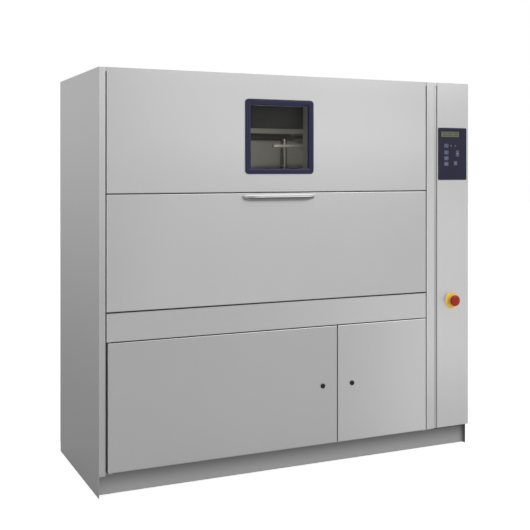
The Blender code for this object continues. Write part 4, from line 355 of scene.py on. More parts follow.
# Front frame and the door seal. The frame is welded from pickled stainless steel, a milky grey
# with faint upright streaks, and stands on the base frame with hexagon bolts along its foot. The
# seal is a matt black rubber profile pressed on round the loading opening.
def moulded(name, colour, roughness, relief=0.05, clear=0.0, shine=0.35):
    """A plastic, rubber, paint or ink.

    Its surface grit is drawn 1.2 mm wide, because the real one is finer than a pixel."""
    cloud_width, grit, unevenness, polish_change = 0.0714, 0.0012, 0.06, 0.04
    material, tree = bare_material(name)
    place = add_node(tree, "ShaderNodeTexCoord").outputs["Object"]
    cloud = add_node(tree, "ShaderNodeTexNoise", {"Vector": place, "Scale": 1 / cloud_width, "Detail": 3.0})
    tint = add_node(tree, "ShaderNodeMapRange", {"Value": cloud.outputs[0], "To Min": 1 - unevenness,
                                                 "To Max": 1 + unevenness})
    shade = add_node(tree, "ShaderNodeVectorMath", {0: linear(colour)[:3], "Scale": tint.outputs[0]},
                     operation="SCALE")
    grain = add_node(tree, "ShaderNodeTexNoise", {"Vector": place, "Scale": 1 / grit, "Detail": 2.0})
    surface = add_node(tree, "ShaderNodeBump", {"Height": grain.outputs[0], "Strength": relief,
                                                "Distance": grit})
    rough = add_node(tree, "ShaderNodeMapRange", {"Value": cloud.outputs[0],
                                                  "To Min": roughness - polish_change,
                                                  "To Max": roughness + polish_change})
    face = add_node(tree, "ShaderNodeBsdfPrincipled",
                    {"Base Color": shade.outputs[0], "Roughness": rough.outputs[0],
                     "Normal": surface.outputs[0], "Specular IOR Level": shine,
                     "Coat Weight": clear, "Coat Roughness": 0.08})
    add_node(tree, "ShaderNodeOutputMaterial", {0: face.outputs[0]})
    return material


mill_grain = (0.004, 0.004, 0.10)
mill_sheet = metal("pickled stainless sheet", "#a5a6a6", roughness=0.36, unevenness=0.05,
                   grain=mill_grain, streak=0.05, dent=0.08, metallic=0.55)
dress(mill_sheet, "front_frame")
black_rubber = moulded("black EPDM rubber", "#141416", 0.62, shine=0.25)
dress(black_rubber, "door_gasket")
bolt_radius, bolt_height, bolt_edge, bolt_gap = 0.006, 0.004, 0.0006, 0.0003
bolt_margin, bolt_rise, bolt_count = 0.10, 0.014, 6
frame_low, frame_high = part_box("front_frame")
foot_face, bolt_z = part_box("plinth")[0].y, frame_low.z + bolt_rise
bolt_left, bolt_right = frame_low.x + bolt_margin, frame_high.x - bolt_margin
mesh = bmesh.new()
for index in range(bolt_count):
    x = bolt_left + (bolt_right - bolt_left) * index / (bolt_count - 1)
    add_rod(mesh, (x, foot_face + bolt_gap, bolt_z), (x, foot_face - bolt_height, bolt_z), bolt_radius,
            sides=6, edge=bolt_edge)
finished("front_frame_bolts", mesh, polished_steel, "cabinet")


# Wash chamber. The same pickled steel in sheet, welded into one shell over its sump. A sheet of
# black rubber over the window's view of the ceiling is painted shade, dark where shade falls, and a
# lamp near the ceiling's front edge lights the back wall. A bead is rolled round the exhaust spigot.
def add_block(mesh, low, high, edge=0.0, segments=2):
    """A block between two corners, with its edges rounded."""
    low, high = Vector(low), Vector(high)
    place = Matrix.Translation((low + high) / 2) @ Matrix.Diagonal(high - low).to_4x4()
    made = bmesh.ops.create_cube(mesh, size=1, matrix=place)
    if edge:
        edges = {side for vert in made["verts"] for side in vert.link_edges}
        bmesh.ops.bevel(mesh, geom=list(edges), offset=edge, segments=segments, profile=0.5,
                        affect="EDGES", material=-1)


def add_turned(mesh, profile, place, axis, steps=48):
    """A turned body from points given as a radius and a distance along the axis."""
    place, axis = Vector(place), Vector(axis)
    across = axis.orthogonal().normalized()
    points = [mesh.verts.new(place + across * radius + axis * reach) for radius, reach in profile]
    edges = [mesh.edges.new(pair) for pair in zip(points, points[1:])]
    bmesh.ops.spin(mesh, geom=points + edges, cent=place, axis=axis, angle=math.tau, steps=steps,
                   use_merge=True)


def round_section(radius, wire, sides=8):
    """The profile of a ring bent from round wire."""
    turns = [math.tau * step / sides for step in range(sides + 1)]
    return [(radius + wire * math.cos(turn), wire * math.sin(turn)) for turn in turns]


dress(mill_sheet, "wash_chamber", "sump_tank")
rubber_middle, rubber_low, rubber_high = middle_of("window_gasket")
window_x, window_z = rubber_middle.x, rubber_middle.z
ceiling_z, front_wall_y, tunnel_half, tunnel_top = 1.767, -0.3422, 0.1605, 1.847
# Painted shade: a black rubber sheet that darkens the view of the ceiling through the window.
baffle_gap, baffle_thickness, baffle_edge, lintel = 0.0004, 0.0016, 0.0005, 0.035
mesh = bmesh.new()
add_block(mesh, (window_x - tunnel_half, front_wall_y - baffle_gap - baffle_thickness, ceiling_z - lintel),
          (window_x + tunnel_half, front_wall_y - baffle_gap, tunnel_top), baffle_edge)
finished("window_shade_sheet", mesh, black_rubber, "cabinet")

# The lamp's glass is frosted inside, so it glows evenly and hides the bulb. Its frost is drawn
# 3.33 mm wide, because the real one is finer than a pixel.
frost_grain, least_frost, most_frost, glass_glow = 0.00333, 0.35, 0.55, 0.8
lit_glass, tree = bare_material("frosted lamp glass")
frost = add_node(tree, "ShaderNodeTexNoise",
                 {"Vector": add_node(tree, "ShaderNodeTexCoord").outputs["Object"],
                  "Scale": 1 / frost_grain})
frost_rough = add_node(tree, "ShaderNodeMapRange", {"Value": frost.outputs[0], "To Min": least_frost,
                                                    "To Max": most_frost})
lit_face = add_node(tree, "ShaderNodeBsdfPrincipled",
                    {"Base Color": linear("#e8ebe6"), "Roughness": frost_rough.outputs[0],
                     "Emission Color": linear("#fff4dc"), "Emission Strength": glass_glow})
add_node(tree, "ShaderNodeOutputMaterial", {0: lit_face.outputs[0]})
lamp_x, lamp_y, lamp_glass, lamp_ring, lamp_drop = 0.090, -0.20, 0.030, 0.038, 0.016
ring_bore, lamp_seat = lamp_glass + 0.0003, 0.0003
ceiling_under = ceiling_z - sheet
lamp_place = (lamp_x, lamp_y, ceiling_under)
glass_profile = ((0.0, lamp_drop), (0.018, lamp_drop - 0.001), (lamp_glass, lamp_drop - 0.005),
                 (lamp_glass, 0.001), (0.0, 0.001))
ring_profile = ((ring_bore, lamp_seat), (ring_bore, 0.012), (lamp_glass + 0.003, 0.0135),
                (lamp_ring - 0.002, 0.010), (lamp_ring, 0.006), (lamp_ring, lamp_seat),
                (ring_bore, lamp_seat))
mesh = bmesh.new()
add_turned(mesh, glass_profile, lamp_place, (0, 0, -1))
finished("chamber_lamp_glass", mesh, lit_glass, "cabinet")
mesh = bmesh.new()
add_turned(mesh, ring_profile, lamp_place, (0, 0, -1))
finished("chamber_lamp_ring", mesh, polished_steel, "cabinet")
bulb_power, bulb_size, bulb_gap, warm_white = 6.0, 0.012, 0.013, (1.0, 0.93, 0.82)
bulb_data = bpy.data.lights.new("chamber lamp", "POINT")
bulb_data.energy = bulb_power
bulb_data.shadow_soft_size = bulb_size
bulb_data.color = warm_white
bulb = bpy.data.objects.new("chamber lamp", bulb_data)
bpy.context.scene.collection.objects.link(bulb)
bulb.location = (lamp_x, lamp_y, ceiling_under - lamp_drop - bulb_gap)
bulb.visible_camera = bulb.visible_transmission = bulb.visible_glossy = False

spigot_place, spigot_radius, bead_radius, bead_drop = (0.309, 0.1975), 0.055, 0.0018, 0.012
spigot_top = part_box("wash_chamber")[1].z
mesh = bmesh.new()
add_turned(mesh, round_section(spigot_radius, bead_radius), (*spigot_place, spigot_top - bead_drop),
           (0, 0, 1), steps=64)
finished("exhaust_spigot_bead", mesh, mill_sheet, "cabinet")


# Water circuit in the chamber. Electropolished stainless tube, four spray arms with threaded end
# plugs, a wire rack, an immersion heater and the strainer, which lifts out by its wire handle.
dress(polished_steel, "lower_left_wash_arm", "lower_right_wash_arm", "upper_left_wash_arm",
      "upper_right_wash_arm", "load_rack", "heating_element", "wash_pipework", "suction_pipe",
      "pump_volute", "pump_rotor", "sump_filter")
plug_radius, plug_length, plug_overlap, plug_edge, arm_level = 0.0065, 0.0015, 0.0002, 0.0004, 0.0167
for arm in ("lower_left_wash_arm", "lower_right_wash_arm", "upper_left_wash_arm", "upper_right_wash_arm"):
    middle, low, high = middle_of(arm)
    level = low.z + arm_level if arm.startswith("lower") else high.z - arm_level
    mesh = bmesh.new()
    for end, way in ((low.x, -1), (high.x, 1)):
        add_rod(mesh, (end - way * plug_overlap, middle.y, level),
                (end + way * plug_length, middle.y, level), plug_radius, sides=6, edge=plug_edge)
    finished(arm + "_plugs", mesh, polished_steel, arm)
filter_middle, _, filter_high = middle_of("sump_filter")
grip_half, grip_rise, grip_wire, grip_setback = 0.030, 0.022, 0.002, 0.085
grip = ((-grip_half, 0.0), (-grip_half, grip_rise), (grip_half, grip_rise), (grip_half, 0.0))
grip_y = filter_middle.y + grip_setback
mesh = bmesh.new()
for (start_x, start_z), (end_x, end_z) in zip(grip, grip[1:]):
    add_rod(mesh, (filter_middle.x + start_x, grip_y, filter_high.z + start_z),
            (filter_middle.x + end_x, grip_y, filter_high.z + end_z), grip_wire, sides=12)
finished("strainer_handle", mesh, polished_steel, "cabinet")


# Circulation pump. A cast motor sprayed with blue grey enamel, which is smooth and half glossy,
# with a fan cowl and a terminal box. It is bolted to the cross tubes and to a polished casing,
# and clamps with screw housings close the suction pipe's ends.
motor_enamel = moulded("blue grey motor enamel", "#46525f", 0.44)
dress(motor_enamel, "pump_motor")
motor_low, motor_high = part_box("pump_motor")
rotor_middle = middle_of("pump_rotor")[0]
axis_y, axis_z = rotor_middle.y, rotor_middle.z
box_start, box_end, box_half, box_foot, box_top, box_edge = 0.200, 0.110, 0.030, 0.0755, 0.118, 0.004
gland_place, gland_level, gland_start, gland_end = 0.155, 0.098, 0.0295, 0.044
gland_radius, gland_edge = 0.010, 0.001
gland_x, gland_z = motor_high.x - gland_place, axis_z + gland_level
mesh = bmesh.new()
add_block(mesh, (motor_high.x - box_start, axis_y - box_half, axis_z + box_foot),
          (motor_high.x - box_end, axis_y + box_half, axis_z + box_top), box_edge, segments=3)
add_rod(mesh, (gland_x, axis_y - gland_start, gland_z), (gland_x, axis_y - gland_end, gland_z),
        gland_radius, sides=6, edge=gland_edge)
finished("motor_terminal_box", mesh, motor_enamel, "cabinet")

grille_radii, grille_wire, grille_depth = (0.020, 0.038, 0.056, 0.0745), 0.0015, 0.0030
spoke_count, spoke_start, spoke_end, spoke_wire, spoke_depth = 6, 0.019, 0.076, 0.0012, 0.0012
mesh = bmesh.new()
for radius in grille_radii:
    add_turned(mesh, round_section(radius, grille_wire), (motor_low.x + grille_depth, axis_y, axis_z),
               (1, 0, 0), steps=40)
hub = Vector((motor_low.x + spoke_depth, axis_y, axis_z))
for step in range(spoke_count):
    turn = math.tau * step / spoke_count
    spoke = Vector((0, math.cos(turn), math.sin(turn)))
    add_rod(mesh, hub + spoke * spoke_start, hub + spoke * spoke_end, spoke_wire, sides=8)
finished("motor_cowl_grille", mesh, motor_enamel, "cabinet")

volute_low, volute_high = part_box("pump_volute")
flange_bolts, flange_ring, case_depth = 8, 0.066, 0.060
flange_head, flange_head_height, head_edge = 0.0065, 0.005, 0.0008
foot_bolts, foot_spread, foot_head = (-0.714, -0.534), 0.060, 0.0075
foot_head_low, foot_head_high = 0.1076, 0.1130
case_face = volute_low.x + case_depth
mesh = bmesh.new()
for step in range(flange_bolts):
    turn = math.tau * (step + 0.5) / flange_bolts
    y, z = axis_y + flange_ring * math.cos(turn), axis_z + flange_ring * math.sin(turn)
    add_rod(mesh, (case_face, y, z), (case_face + flange_head_height, y, z), flange_head, sides=6,
            edge=head_edge)
for x in foot_bolts:
    for y in (axis_y - foot_spread, axis_y + foot_spread):
        add_rod(mesh, (x, y, foot_head_low), (x, y, foot_head_high), foot_head, sides=6,
                edge=head_edge)
finished("pump_bolts", mesh, polished_steel, "cabinet")

band_bore, band_radius, band_width, upper_band = 0.0302, 0.0316, 0.012, 0.530
housing_inset, housing_length, housing_half, housing_far, housing_near = 0.001, 0.010, 0.009, 0.042, 0.0312
housing_edge = 0.001
band = ((band_bore, 0.0), (band_radius, 0.0), (band_radius, band_width), (band_bore, band_width),
        (band_bore, 0.0))
band_x, pipe_x = volute_high.x + 0.004, filter_middle.x
mesh = bmesh.new()
add_turned(mesh, band, (band_x, axis_y, axis_z), (1, 0, 0))
add_block(mesh, (band_x + housing_inset, axis_y - housing_far, axis_z - housing_half),
          (band_x + housing_inset + housing_length, axis_y - housing_near, axis_z + housing_half),
          housing_edge)
add_turned(mesh, band, (pipe_x, axis_y, upper_band), (0, 0, 1))
add_block(mesh, (pipe_x - housing_half, axis_y - housing_far, upper_band + housing_inset),
          (pipe_x + housing_half, axis_y - housing_near, upper_band + housing_inset + housing_length),
          housing_edge)
finished("suction_pipe_clamps", mesh, polished_steel, "cabinet")


# Valves and dosing. Moulded grey polypropylene bodies, even and waxy, screwed to the rear panel
# and the mullion. Two blow moulded canisters of milky natural polyethylene have ribbed caps, one
# colour for each product, and plain printed labels.
grey_polypropylene = moulded("grey polypropylene", "#5a5d60", 0.48)
dress(grey_polypropylene, "drain_valve", "water_inlet_valve", "dosing_pump")
milky_polyethylene = moulded("natural polyethylene", "#dcdcd4", 0.46)
dress(milky_polyethylene, "detergent_container_1", "detergent_container_2")
label_film = moulded("printed polyester label", "#c9cdd2", 0.40, relief=0.02)
cap_radius, cap_rise, cap_bore, cap_lid = 0.0284, 0.022, 0.006, 0.0006
cap_profile = ((cap_bore, cap_rise + cap_lid), (cap_radius - 0.002, cap_rise + cap_lid),
               (cap_radius, cap_rise - 0.0015), (cap_radius, 0.0005), (cap_radius - 0.0003, 0.0),
               (cap_bore, 0.0), (cap_bore, cap_rise + cap_lid))
rib_count, rib_radius, rib_foot, rib_top = 24, 0.0011, 0.001, 0.003
label_half, label_low, label_high, label_edge = 0.055, 0.080, 0.200, 0.0002
label_front, label_back = 0.0006, 0.0002
for canister, tone, colour in (("detergent_container_1", "blue", "#2a4f86"),
                               ("detergent_container_2", "red", "#8f2a22")):
    middle, low, high = middle_of(canister)
    cap_polyethylene = moulded(tone + " polyethylene cap", colour, 0.42)
    mesh = bmesh.new()
    add_turned(mesh, cap_profile, (middle.x, middle.y, high.z - cap_rise), (0, 0, 1))
    for step in range(rib_count):
        turn = math.tau * step / rib_count
        x, y = middle.x + cap_radius * math.cos(turn), middle.y + cap_radius * math.sin(turn)
        add_rod(mesh, (x, y, high.z - cap_rise + rib_foot), (x, y, high.z - rib_top), rib_radius,
                sides=8)
    finished(canister + "_cap", mesh, cap_polyethylene, "cabinet")
    mesh = bmesh.new()
    add_block(mesh, (middle.x - label_half, low.y - label_front, low.z + label_low),
              (middle.x + label_half, low.y + label_back, low.z + label_high), label_edge, segments=1)
    finished(canister + "_label", mesh, label_film, "cabinet")
inlet_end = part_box("water_inlet_valve")[1].y
inlet_places, inlet_z = (-0.824, -0.754), 0.560
thread_count, thread_start, thread_pitch = 5, 0.004, 0.003
thread_profile = ((0.0130, -0.001), (0.0138, 0.0), (0.0130, 0.001))
mesh = bmesh.new()
for x in inlet_places:
    for step in range(thread_count):
        add_turned(mesh, thread_profile, (x, inlet_end - thread_start - thread_pitch * step, inlet_z),
                   (0, 1, 0), steps=32)
finished("inlet_threads", mesh, grey_polypropylene, "cabinet")


# Electrical board. A galvanised plate with its modules, hung on the divider inside the column,
# where no view shows it; its zinc is a dull, yellowish grey.
board_zinc = moulded("galvanised mounting plate", "#a9a795", 0.50)
dress(board_zinc, "electrical_board")


# Window. A navy rubber profile with a soft sheen grips the panel's edge in one groove and the
# pane in another, and a locking strip is pressed into its face. The pane is toughened clear glass.
navy_rubber = moulded("navy blue EPDM rubber", "#1e1f42", 0.46, shine=0.3)
window_width, window_height, window_corner, least_corner = 0.379, 0.374, 0.018, 0.004
pane_low, pane_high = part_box("window_glass")
sheet_back = front_face + sheet
rubber_profile = (
    (0.0, front_face - 0.0003), (0.0, rubber_low.y + 0.0020), (0.0012, rubber_low.y + 0.0006),
    (0.0035, rubber_low.y), (0.0115, rubber_low.y + 0.0002), (0.0125, rubber_low.y + 0.0012),
    (0.0140, rubber_low.y + 0.0013), (0.0150, rubber_low.y + 0.0002), (0.0235, rubber_low.y + 0.0005),
    (0.0265, rubber_low.y + 0.0020), (0.0280, pane_low.y - 0.0012), (0.0280, pane_low.y - 0.0003),
    (0.0200, pane_low.y - 0.0002), (0.0200, pane_high.y + 0.0002), (0.0280, pane_high.y + 0.0003),
    (0.0280, rubber_high.y), (0.0040, rubber_high.y - 0.0001), (0.0040, sheet_back + 0.0003),
    (0.0123, sheet_back + 0.0002), (0.0123, front_face - 0.0002))


def add_rounded_loop(mesh, middle, width, height, corner, y, segments=8):
    """A loop of edges round a rectangle with round corners that faces the front."""
    known = set(mesh.faces)
    place = (Matrix.Translation((middle[0], y, middle[1])) @ Matrix.Rotation(math.radians(90), 4, "X")
             @ Matrix.Diagonal((width, height, 1, 1)))
    made = bmesh.ops.create_grid(mesh, x_segments=1, y_segments=1, size=0.5, matrix=place)
    bmesh.ops.bevel(mesh, geom=made["verts"], offset=corner, segments=segments, profile=0.5,
                    affect="VERTICES", material=-1)
    face = next(face for face in mesh.faces if face not in known)
    edges = list(face.edges)
    bmesh.ops.delete(mesh, geom=[face], context="FACES_ONLY")
    return edges


mesh = bmesh.new()
loops = [add_rounded_loop(mesh, (window_x, window_z), window_width - 2 * inset, window_height - 2 * inset,
                          max(window_corner - inset, least_corner), y) for inset, y in rubber_profile]
for loop, following in zip(loops, loops[1:] + loops[:1]):
    bmesh.ops.bridge_loops(mesh, edges=loop + following)
finished("window_rubber", mesh, navy_rubber, "cabinet", ("window_gasket",))

# The glass lets the chamber be seen and mirrors little, so its IOR is below that of plain glass.
pane_glass, tree = bare_material("toughened clear glass")
glass_face = add_node(tree, "ShaderNodeBsdfPrincipled",
                      {"Base Color": linear("#eeeeea"), "Roughness": 0.0, "IOR": 1.18,
                       "Transmission Weight": 1.0})
add_node(tree, "ShaderNodeOutputMaterial", {0: glass_face.outputs[0]})
dress(pane_glass, "window_glass")


# Loading door. A ground outer skin, painted dark along its foot as a painted shade, over a pickled
# liner that is screwed on from inside, with a pressed handle along its top edge, an
# electropolished hinge shaft and two quadrant stays.
door_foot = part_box("loading_door_skin")[0].z
# Painted shade: dark along the skin's foot and slightly darker at its left end.
door_shade = ("Z", door_foot + 0.0020, door_foot + 0.0045, 0.55, ("X", -1.0, -0.65, 0.95, 1.0))
dress(folded_steel("loading door", "loading_door_skin", "#bebebe", 0.42, door_shade), "loading_door_skin")
dress(mill_sheet, "loading_door_liner")
dress(polished_steel, "left_door_stay", "right_door_stay", "door_hinge_shaft")

# The handle is pressed from one strip: a shelf, and a lip that hangs from its front edge and is
# raked back. The section grows thin towards both ends, and below the edge its steel is painted
# dark, a painted shade under the lip.
handle_low, handle_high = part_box("door_handle")
handle_sheet, shelf_drop, lip_drop, base_drop, lip_rake = 0.0025, 0.0130, 0.0345, 0.0370, 0.0230
back, front, top = handle_high.y, handle_low.y, handle_high.z
shelf, lip, foot, base_face = top - shelf_drop, top - lip_drop, top - base_drop, back - handle_sheet
lip_face = front + lip_rake
hook = ((back, foot), (back, top), (base_face, top), (base_face, shelf + 0.0030),
        (base_face - 0.0008, shelf + 0.0009), (base_face - 0.0028, shelf), (front + 0.0052, shelf),
        (front + 0.0026, shelf - 0.0006), (front + 0.0009, shelf - 0.0022),
        (front + 0.0002, shelf - 0.0045), (lip_face + 0.0002, lip + 0.0055),
        (lip_face + 0.0008, lip + 0.0022), (lip_face + 0.0026, lip), (lip_face + 0.0044, lip + 0.0016),
        (lip_face + 0.0047, lip + 0.0042), (lip_face + 0.0027, lip + 0.0058),
        (front + 0.0027, shelf - 0.0052), (front + 0.0036, shelf - 0.0034),
        (front + 0.0056, shelf - handle_sheet), (base_face - 0.0030, shelf - handle_sheet),
        (base_face, shelf - handle_sheet - 0.0030), (base_face, foot))
handle_taper, handle_steps, least_depth, least_height, tolerance = 0.060, 48, 0.08, 0.3, 1e-6
mesh = bmesh.new()
rim = [mesh.verts.new((handle_low.x, y, z)) for y, z in hook]
edges = [mesh.edges.new(pair) for pair in zip(rim, rim[1:] + rim[:1])]
bmesh.ops.contextual_create(mesh, geom=edges)
for step in range(handle_steps):
    made = bmesh.ops.extrude_edge_only(mesh, edges=edges)["geom"]
    bmesh.ops.translate(mesh, vec=((handle_high.x - handle_low.x) / handle_steps, 0, 0),
                        verts=[item for item in made if isinstance(item, bmesh.types.BMVert)])
    edges = [item for item in made if isinstance(item, bmesh.types.BMEdge)
             and all(vert in made for vert in item.verts)
             and abs(item.verts[0].co.x - item.verts[1].co.x) < tolerance]
bmesh.ops.contextual_create(mesh, geom=edges)
for vert in mesh.verts:
    inward = min(vert.co.x - handle_low.x, handle_high.x - vert.co.x) / handle_taper
    depth = max(least_depth, math.sqrt(1 - (1 - min(max(inward, 0.0), 1.0)) ** 2))
    vert.co.y = back + (vert.co.y - back) * depth
    vert.co.z = shelf + (vert.co.z - shelf) * (least_height + (1 - least_height) * depth)
handle_shade = ("Z", shelf - 0.0080, shelf - 0.0050, 0.50, 1.0)
handle_steel = ground_steel("pressed handle", "#bebebe", 0.42, handle_shade)
finished("handle_hook", mesh, handle_steel, "loading_door", ("door_handle",), sharp=50)

liner_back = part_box("loading_door_liner")[1].y
liner_columns, liner_rows = 7, 2
first_x, last_x, first_z, last_z = -0.895, 0.653, 0.965, 1.355
liner_screw = ((0.0045, 0.0), (0.0042, 0.0009), (0.0025, 0.0016), (0.0, 0.0018))
mesh = bmesh.new()
for column in range(liner_columns):
    for row in range(liner_rows):
        x = first_x + (last_x - first_x) * column / (liner_columns - 1)
        z = first_z + (last_z - first_z) * row / (liner_rows - 1)
        add_turned(mesh, liner_screw, (x, liner_back, z), (0, 1, 0), steps=20)
finished("door_liner_screws", mesh, polished_steel, "loading_door")


# Service doors. Folded from the same ground sheet, each on two pins, with a round lock moulded in
# black nylon, hard and slightly glossy, that a flat key turns a quarter.
# Painted light: each door's grey grows paler to the right, and the right door is set paler.
left_door_shade, right_door_shade = ("X", -0.95, 0.0, 1.0, 1.04), ("X", 0.22, 0.76, 1.0, 1.18)
dress(folded_steel("left service door", "left_service_door", "#afafaf", 0.44, left_door_shade),
      "left_service_door")
dress(ground_steel("right service door", "#b9b9b9", 0.44, right_door_shade), "right_service_door")
black_nylon = moulded("black glass filled nylon", "#17181a", 0.42, shine=0.3)
bezel_radius, bezel_depth, bezel_edge, barrel_radius = 0.0125, 0.004, 0.001, 0.0095
slot_half, slot_rise, slot_depth, slot_corner = 0.0015, 0.0055, 0.0025, 0.0007
cam_half, cam_thickness, cam_edge = 0.008, 0.003, 0.0006
for side in ("left", "right"):
    middle, low, high = middle_of(side + "_door_lock")
    lock_z, lock_depth = high.z - bezel_radius, high.y - low.y
    mesh = bmesh.new()
    rim = bmesh.ops.create_circle(mesh, segments=48, radius=bezel_radius - bezel_edge, cap_ends=False,
                                  matrix=Matrix.Translation((middle.x, low.y, lock_z))
                                  @ Matrix.Rotation(math.radians(90), 4, "X"))
    rim_edges = list({edge for vert in rim["verts"] for edge in vert.link_edges})
    slot_edges = add_rounded_loop(mesh, (middle.x, lock_z), 2 * slot_half, 2 * slot_rise, slot_corner,
                                  low.y, segments=3)
    bmesh.ops.triangle_fill(mesh, edges=rim_edges + slot_edges, use_beauty=True)
    bottom = bmesh.ops.extrude_edge_only(mesh, edges=slot_edges)
    new_verts = [item for item in bottom["geom"] if isinstance(item, bmesh.types.BMVert)]
    bmesh.ops.translate(mesh, vec=(0, slot_depth, 0), verts=new_verts)
    bmesh.ops.contextual_create(mesh, geom=[item for item in bottom["geom"]
                                            if isinstance(item, bmesh.types.BMEdge)
                                            and all(vert in new_verts for vert in item.verts)])
    lock_profile = ((bezel_radius - bezel_edge, 0.0), (bezel_radius - 0.0003, 0.0003),
                    (bezel_radius, bezel_edge), (bezel_radius, bezel_depth), (barrel_radius, bezel_depth),
                    (barrel_radius, lock_depth), (0.0, lock_depth))
    add_turned(mesh, lock_profile, (middle.x, low.y, lock_z), (0, 1, 0))
    add_block(mesh, (middle.x - cam_half, high.y - cam_thickness, low.z),
              (middle.x + cam_half, high.y, lock_z), cam_edge)
    finished(side + "_lock_set", mesh, black_nylon, side + "_lock", (side + "_door_lock",))


# Control unit. A matt navy polyester film over a moulded housing, with a liquid crystal display,
# greenish and smooth, behind a dark printed frame. Six embossed lilac keys have printed marks,
# and two small glossy lenses beside the top key cover the indicator lamps.
navy_film = moulded("navy polyester overlay", "#1c1c34", 0.40, relief=0.03, shine=0.25)
key_film = moulded("embossed dark lilac overlay", "#4f4d6a", 0.42, shine=0.25)
mark_ink = moulded("pale lilac printing ink", "#8a889c", 0.50, relief=0.02, shine=0.2)
frame_ink = moulded("dark grey printing ink", "#14141c", 0.34, relief=0.02, shine=0.3)
display_green = moulded("liquid crystal display", "#666d5c", 0.20, relief=0.0, shine=0.3)
display_ink = moulded("liquid crystal segments", "#454b3c", 0.30, relief=0.0, shine=0.3)
keys = ("key_program_1", "key_program_2", "key_program_3", "key_program_4", "key_select", "key_start")
dress(navy_film, "control_panel")
dress(key_film, *keys)
dress(display_green, "display_window")
panel_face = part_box("control_panel")[0].y


def add_flat_ring(mesh, middle, width, height, corner, band, y, rise):
    """A flat printed or moulded frame with round corners, on a face that looks to the front."""
    least_radius, step_back = 0.0004, 0.2 * rise
    section = ((0.0, y), (0.0, y - rise), (band, y - rise + step_back), (band, y + step_back))
    rings = [add_rounded_loop(mesh, middle, width - 2 * inset, height - 2 * inset,
                              max(corner - inset, least_radius), level, segments=4)
             for inset, level in section]
    for ring, following in zip(rings, rings[1:] + rings[:1]):
        bmesh.ops.bridge_loops(mesh, edges=ring + following)


display_middle, display_low, _ = middle_of("display_window")
border_width, border_height, border_corner, border_band = 0.127, 0.039, 0.004, 0.0049
border_lift, border_thickness = 0.0001, 0.0003
mesh = bmesh.new()
add_flat_ring(mesh, (display_middle.x, display_middle.z), border_width, border_height, border_corner,
              border_band, panel_face + border_lift, border_thickness)
finished("display_frame", mesh, frame_ink, "cabinet")
text_rows, text_columns, text_width, text_height, ink = 2, 3, 0.028, 0.0055, 0.0001
text_left, text_foot, text_column, text_row = 0.010, 0.0065, 0.036, 0.0115
mesh = bmesh.new()
for row in range(text_rows):
    for column in range(text_columns):
        x = display_low.x + text_left + column * text_column
        z = display_low.z + text_foot + row * text_row
        add_block(mesh, (x, display_low.y - ink, z), (x + text_width, display_low.y + ink, z + text_height))
finished("display_segments", mesh, display_ink, "cabinet")

outline_inset, outline_corner, outline_band = 0.0006, 0.002, 0.0011
bar_pitch, bar_half, bar_rise = 0.0042, 0.0012, 0.0055
circle_size, circle_corner, circle_band = 0.0105, 0.0050, 0.0024
arrow_shift, arrow_radius = 0.0012, 0.0062
key_bars = {"key_program_1": 1, "key_program_2": 2, "key_program_3": 3, "key_program_4": 4}
for key in keys:
    middle, low, high = middle_of(key)
    face, key_middle = low.y, (middle.x, middle.z)
    mesh = bmesh.new()
    add_flat_ring(mesh, key_middle, high.x - low.x - outline_inset, high.z - low.z - outline_inset,
                  outline_corner, outline_band, face, ink)
    if key in key_bars:
        for bar in range(key_bars[key]):
            x = middle.x + (bar - (key_bars[key] - 1) / 2) * bar_pitch
            add_block(mesh, (x - bar_half, face - ink, middle.z - bar_rise),
                      (x + bar_half, face, middle.z + bar_rise))
    elif key == "key_select":
        add_flat_ring(mesh, key_middle, circle_size, circle_size, circle_corner, circle_band, face, ink)
    else:
        x = middle.x - arrow_shift
        add_rod(mesh, (x, face, middle.z), (x, face - ink, middle.z), arrow_radius, sides=3)
    finished(key + "_marks", mesh, mark_ink, key)

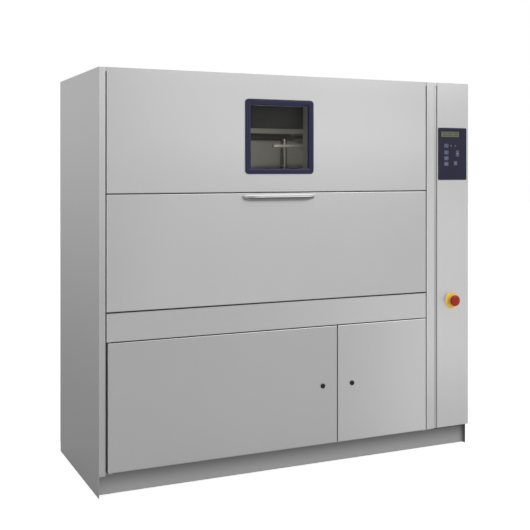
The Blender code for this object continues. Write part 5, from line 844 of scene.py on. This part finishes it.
body_left, lens_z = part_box("left_side_panel")[0].x, 1.655
lens_profile = ((0.0040, -0.0001), (0.0040, 0.0006), (0.0034, 0.0014), (0.0020, 0.0019), (0.0, 0.0021))
for lamp, tone, colour, from_left in (("ready_lamp", "green", "#5d8a5a", 1.970),
                                      ("fault_lamp", "red", "#8a5d56", 1.999)):
    lens = moulded(tone + " indicator lens", colour, 0.22, relief=0.0, shine=0.5, clear=0.4)
    mesh = bmesh.new()
    add_turned(mesh, lens_profile, (body_left + from_left, panel_face, lens_z), (0, -1, 0), steps=24)
    finished(lamp, mesh, lens, "cabinet")


# Emergency stop. A round yellow collar is nutted through the column's front, and a red mushroom
# head rides on a grey stem and unlatches with a twist. Collar and head are moulded in
# polycarbonate, which gives strong, even colours under a thin gloss.
stop_yellow = moulded("yellow polycarbonate", "#ffd45e", 0.38, relief=0.02, clear=0.15)
stop_red = moulded("red polycarbonate", "#a01806", 0.34, relief=0.01, clear=0.12, shine=0.3)
dress(grey_polypropylene, "estop_stem")
collar_middle, collar_low, collar_high = middle_of("estop_collar")
head_low, head_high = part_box("estop_head")
stop_x, stop_z = collar_middle.x, collar_middle.z
collar_depth, head_tall = collar_high.y - collar_low.y, head_high.y - head_low.y
collar_radius, collar_bore, plate, barrel = 0.045, 0.0075, 0.0040, 0.013
nut, nut_start, nut_end = 0.020, 0.0066, 0.0126
collar_profile = ((collar_bore, 0.0), (0.0425, 0.0), (0.0440, 0.0004), (0.0448, 0.0012),
                  (collar_radius, 0.0020), (collar_radius, plate), (barrel, plate), (barrel, nut_start),
                  (nut, nut_start), (nut, nut_end), (barrel, nut_end), (barrel, collar_depth),
                  (collar_bore, collar_depth), (collar_bore, 0.0))
mesh = bmesh.new()
add_turned(mesh, collar_profile, (stop_x, collar_low.y, stop_z), (0, 1, 0), steps=64)
finished("stop_collar", mesh, stop_yellow, "cabinet", ("estop_collar",))
socket_depth, head_neck, head_radius = 0.018, 0.0150, 0.0300
head_profile = ((0.0, socket_depth), (collar_bore, socket_depth), (collar_bore, 0.0), (head_neck, 0.0),
                (head_neck, 0.0095), (0.0160, 0.0103), (0.0265, 0.0106), (0.0287, 0.0118),
                (head_radius, 0.0140), (head_radius, 0.0190), (0.0294, 0.0212), (0.0277, 0.0232),
                (0.0250, 0.0247), (0.0200, 0.0262), (0.0120, 0.0275), (0.0, head_tall))
mesh = bmesh.new()
add_turned(mesh, head_profile, (stop_x, head_high.y, stop_z), (0, -1, 0), steps=64)
finished("stop_head", mesh, stop_red, "stop_head", ("estop_head",))
